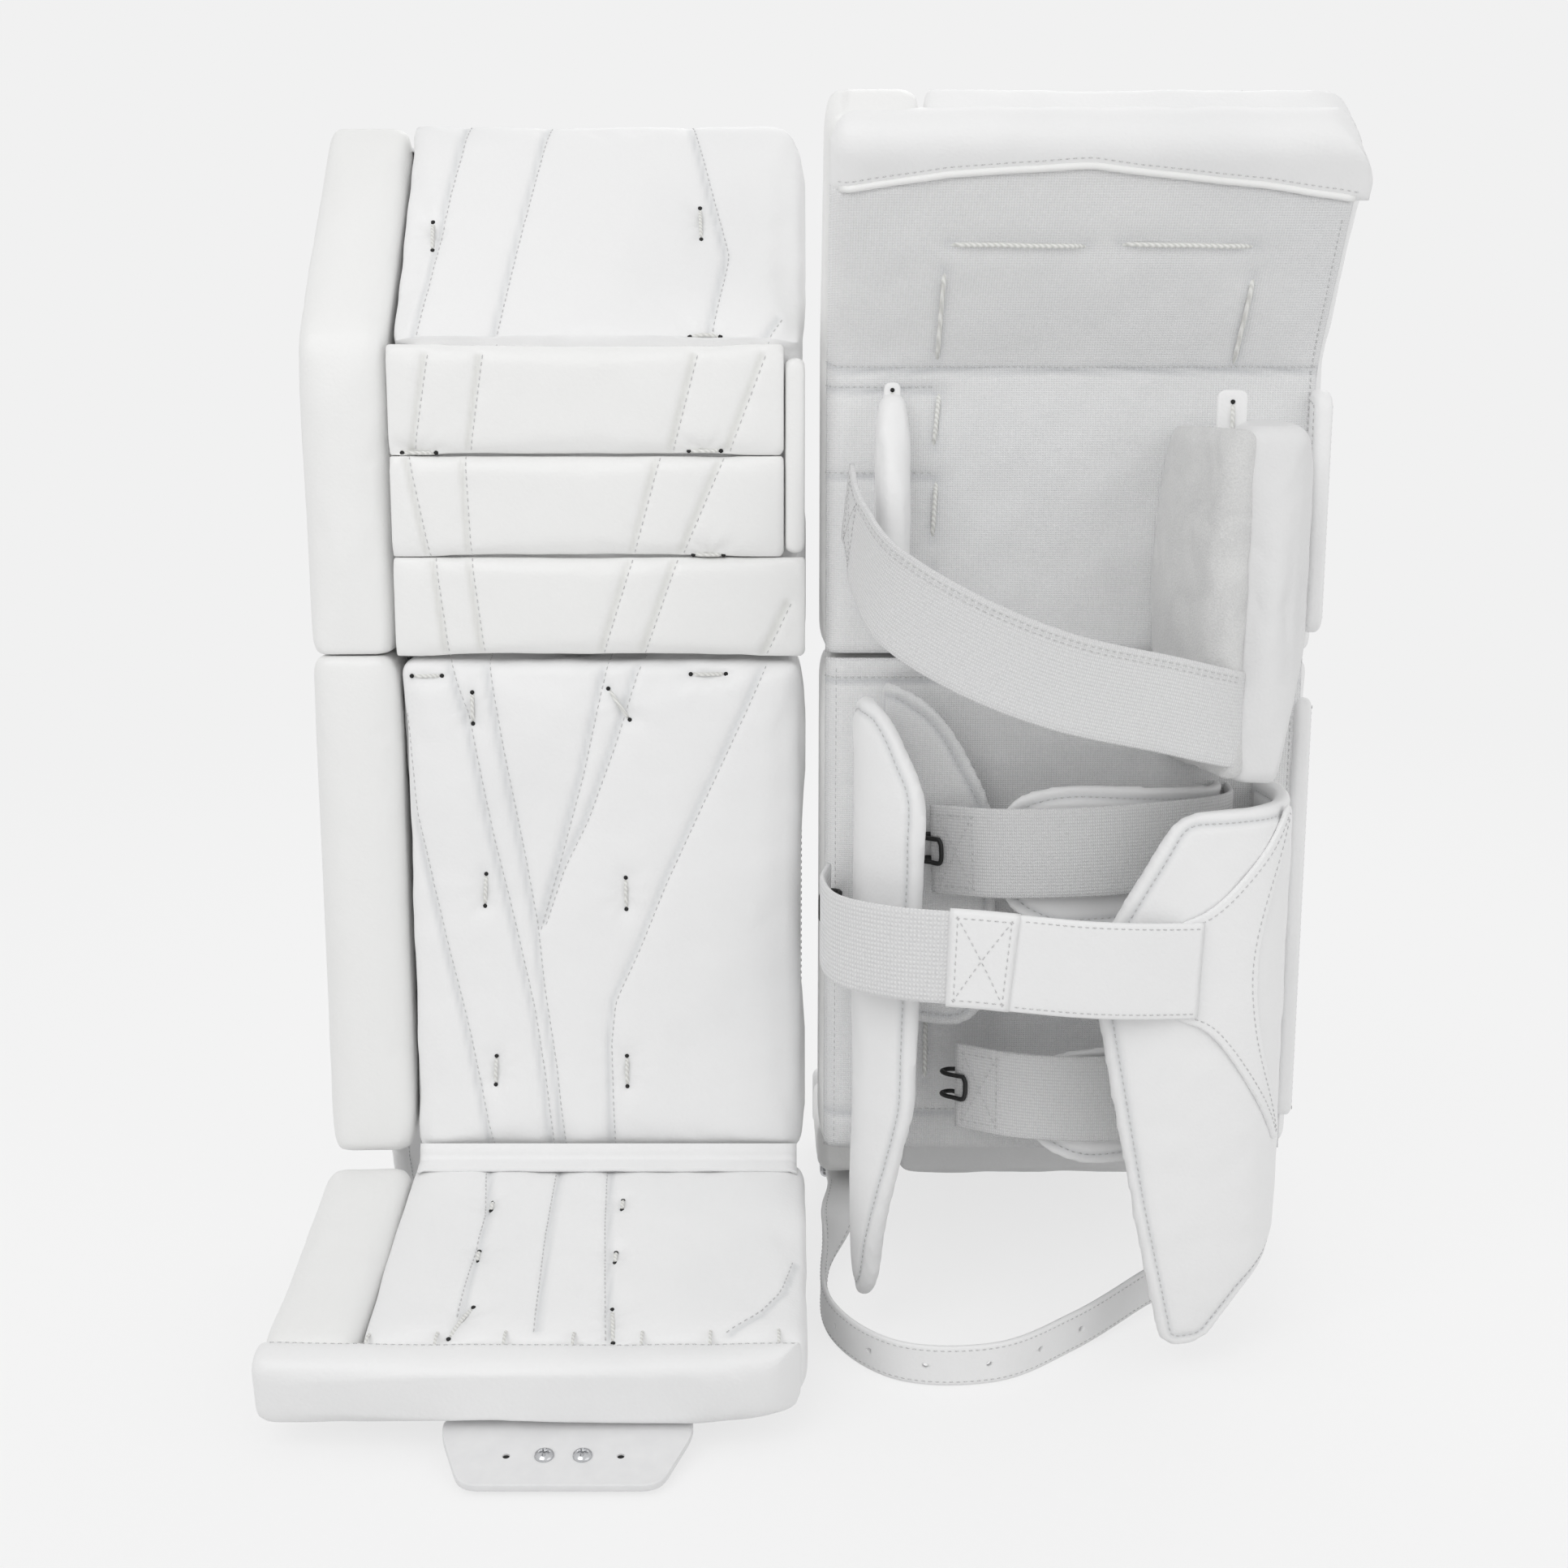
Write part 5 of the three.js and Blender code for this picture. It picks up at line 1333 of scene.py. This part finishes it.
headVerts, headFaces = crossHead()
for k in (1, 2):
    x, z = holeSpots[k]
    place(f"toe_screw_{k}_head", (bootPoint(headVerts + (x, plateFace, z)), headFaces), "boot", "steel",
          (f"toe_screw_{k}",))


# Stitches and laces, one mesh for each body.
def stitchTree():
    tree = bpy.data.node_groups.new("rowOfStitches", "GeometryNodeTree")
    for name, kind, way in (("Rows", "NodeSocketGeometry", "INPUT"), ("Spacing", "NodeSocketFloat", "INPUT"),
                            ("Length", "NodeSocketFloat", "INPUT"), ("Thickness", "NodeSocketFloat", "INPUT"),
                            ("Thread", "NodeSocketMaterial", "INPUT"), ("Stitches", "NodeSocketGeometry", "OUTPUT")):
        tree.interface.new_socket(name=name, in_out=way, socket_type=kind)
    given = addNode(tree, "NodeGroupInput").outputs
    curves = addNode(tree, "GeometryNodeMeshToCurve", {"Mesh": given["Rows"]})
    dots = addNode(tree, "GeometryNodeResampleCurve", {"Curve": curves.outputs[0], "Length": given["Spacing"]},
                   mode="LENGTH")
    tangent = addNode(tree, "GeometryNodeInputTangent")
    turned = addNode(tree, "FunctionNodeAlignEulerToVector", {"Vector": tangent.outputs[0]}, axis="X")
    size = addNode(tree, "ShaderNodeCombineXYZ", {
        "X": given["Length"], "Y": given["Thickness"], "Z": given["Thickness"]})
    bead = addNode(tree, "GeometryNodeMeshIcoSphere", {"Radius": 0.5, "Subdivisions": 1})
    beads = addNode(tree, "GeometryNodeInstanceOnPoints", {
        "Points": dots.outputs[0], "Instance": bead.outputs["Mesh"], "Rotation": turned.outputs[0],
        "Scale": size.outputs[0]})
    solid = addNode(tree, "GeometryNodeRealizeInstances", {"Geometry": beads.outputs[0]})
    coloured = addNode(tree, "GeometryNodeSetMaterial", {"Geometry": solid.outputs[0], "Material": given["Thread"]})
    addNode(tree, "NodeGroupOutput", {"Stitches": coloured.outputs[0]})
    return tree


stitching = {"Spacing": 0.0038, "Length": 0.0026, "Thickness": 0.0007, "Thread": materials["thread"]}
tree = stitchTree()
sockets = {item.name: item.identifier for item in tree.interface.items_tree if item.in_out == "INPUT"}
for body, rows in stitchRows.items():
    for side, where in sides.items():
        verts = np.concatenate([np.asarray(row) for row in rows]) * (1, where["turn"], 1) + (where["x"], 0, seamHeight)
        edges, start = [], 0
        for row in rows:
            edges += [(start + k, start + k + 1) for k in range(len(row) - 1)]
            start += len(row)
        mesh = bpy.data.meshes.new("rows")
        mesh.from_pydata([tuple(v) for v in verts * mm], edges, [])
        guide = bpy.data.objects.new("rows", mesh)
        scene.collection.objects.link(guide)
        modifier = guide.modifiers.new("stitches", "NODES")
        modifier.node_group = tree
        for name, value in stitching.items():
            modifier[sockets[name]] = value
        bpy.context.view_layer.update()
        evaluated = guide.evaluated_get(bpy.context.evaluated_depsgraph_get())
        sewing = bpy.data.meshes.new_from_object(evaluated)
        bpy.data.objects.remove(guide)
        obj = bpy.data.objects.new(f"{side}_{body}_stitching", sewing)
        scene.collection.objects.link(obj)
        sewing.shade_smooth()
        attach(obj, f"{side}_{body}")
for body, runs in laceRuns.items():
    place(f"{body}_lacing", joined(*runs), body, "lace")
for body, holes in laceHoleShades.items():
    place(f"{body}_lace_holes", joined(*holes), body, "hole")
print("stitches and laces made:", {body: len(rows) for body, rows in stitchRows.items()})


# Studio: a pale floor, soft lamps and the camera.
def seenDirectly(tree):
    # 1 where the eye sees a thing itself, in a reflection or through glass, and 0 where it only lights others
    rays = addNode(tree, "ShaderNodeLightPath").outputs
    either = addNode(tree, "ShaderNodeMath", {0: rays["Is Camera Ray"], 1: rays["Is Glossy Ray"]}, operation="MAXIMUM")
    either = addNode(tree, "ShaderNodeMath", {0: either.outputs[0], 1: rays["Is Transmission Ray"]}, operation="MAXIMUM")
    return either.outputs[0]


def floorMaterial():
    # painted board: what is seen of it is mostly its own pale colour, with the soft shadow kept on it
    material, tree = newMaterial("paintedFloor")
    at = addNode(tree, "ShaderNodeTexCoord").outputs["Object"]
    away = addNode(tree, "ShaderNodeVectorMath", {0: at}, operation="LENGTH").outputs["Value"]
    share = addNode(tree, "ShaderNodeMapRange", {"Value": away, "From Min": 0.4, "From Max": 3.0},
                    interpolation_type="SMOOTHSTEP").outputs[0]
    level = addNode(tree, "ShaderNodeMapRange", {"Value": share, "To Min": 0.83, "To Max": 1.0}).outputs[0]
    fade = addNode(tree, "ShaderNodeMix", {0: share, 6: linear("#7c7c7c"), 7: linear("#000000")}, data_type="RGBA")
    glow = addNode(tree, "ShaderNodeEmission", {"Color": linear("#f1f1f1"), "Strength": level})
    paint = addNode(tree, "ShaderNodeBsdfDiffuse", {"Color": fade.outputs[2]})
    shown = addNode(tree, "ShaderNodeAddShader", {0: glow.outputs[0], 1: paint.outputs[0]})
    board = addNode(tree, "ShaderNodeBsdfDiffuse", {"Color": linear("#e9e9e9")})
    both = addNode(tree, "ShaderNodeMixShader", {
        "Fac": seenDirectly(tree), 1: board.outputs[0], 2: shown.outputs[0]})
    addNode(tree, "ShaderNodeOutputMaterial", {"Surface": both.outputs[0]})
    return material


floorMesh = meshOf("floor", ([(-6, -6, 0), (6, -6, 0), (6, 6, 0), (-6, 6, 0)], [(0, 1, 2, 3)]), 1)
floorMesh.materials.append(floorMaterial())
floor = bpy.data.objects.new("floor", floorMesh)
scene.collection.objects.link(floor)
floor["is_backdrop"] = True

world = bpy.data.worlds.new("studio")
scene.world = world
world.use_nodes = True
tree = world.node_tree
tree.nodes.clear()
lit = addNode(tree, "ShaderNodeBackground", {"Color": linear("#ffffff"), "Strength": 0.62})
shown = addNode(tree, "ShaderNodeBackground", {"Color": linear("#f1f1f1"), "Strength": 1.0})
both = addNode(tree, "ShaderNodeMixShader", {"Fac": seenDirectly(tree), 1: lit.outputs[0], 2: shown.outputs[0]})
addNode(tree, "ShaderNodeOutputWorld", {"Surface": both.outputs[0]})

lamps = {
    "key": {"at": (-0.9, -1.7, 1.9), "size": 1.6, "power": 15},
    "fill": {"at": (1.6, -1.4, 1.0), "size": 1.8, "power": 6},
    "back": {"at": (0.4, 1.6, 1.9), "size": 1.6, "power": 9},
}
for name, lamp in lamps.items():
    light = bpy.data.lights.new(name, "AREA")
    light.energy, light.size = lamp["power"], lamp["size"]
    obj = bpy.data.objects.new(name, light)
    obj.location = lamp["at"]
    obj.rotation_euler = (Vector((0, 0, 0.35)) - Vector(lamp["at"])).to_track_quat("-Z", "Y").to_euler()
    scene.collection.objects.link(obj)

view = {"at": (-0.0164, -1.155, 0.5295), "tilt": 78.94, "lens": 46.2}
camera = bpy.data.objects.new("camera", bpy.data.cameras.new("camera"))
camera.data.lens, camera.data.sensor_width = view["lens"], 36
camera.location = view["at"]
camera.rotation_euler = (math.radians(view["tilt"]), 0, 0)
scene.collection.objects.link(camera)
scene.camera = camera
scene.view_settings.view_transform = "Standard"

low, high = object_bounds()
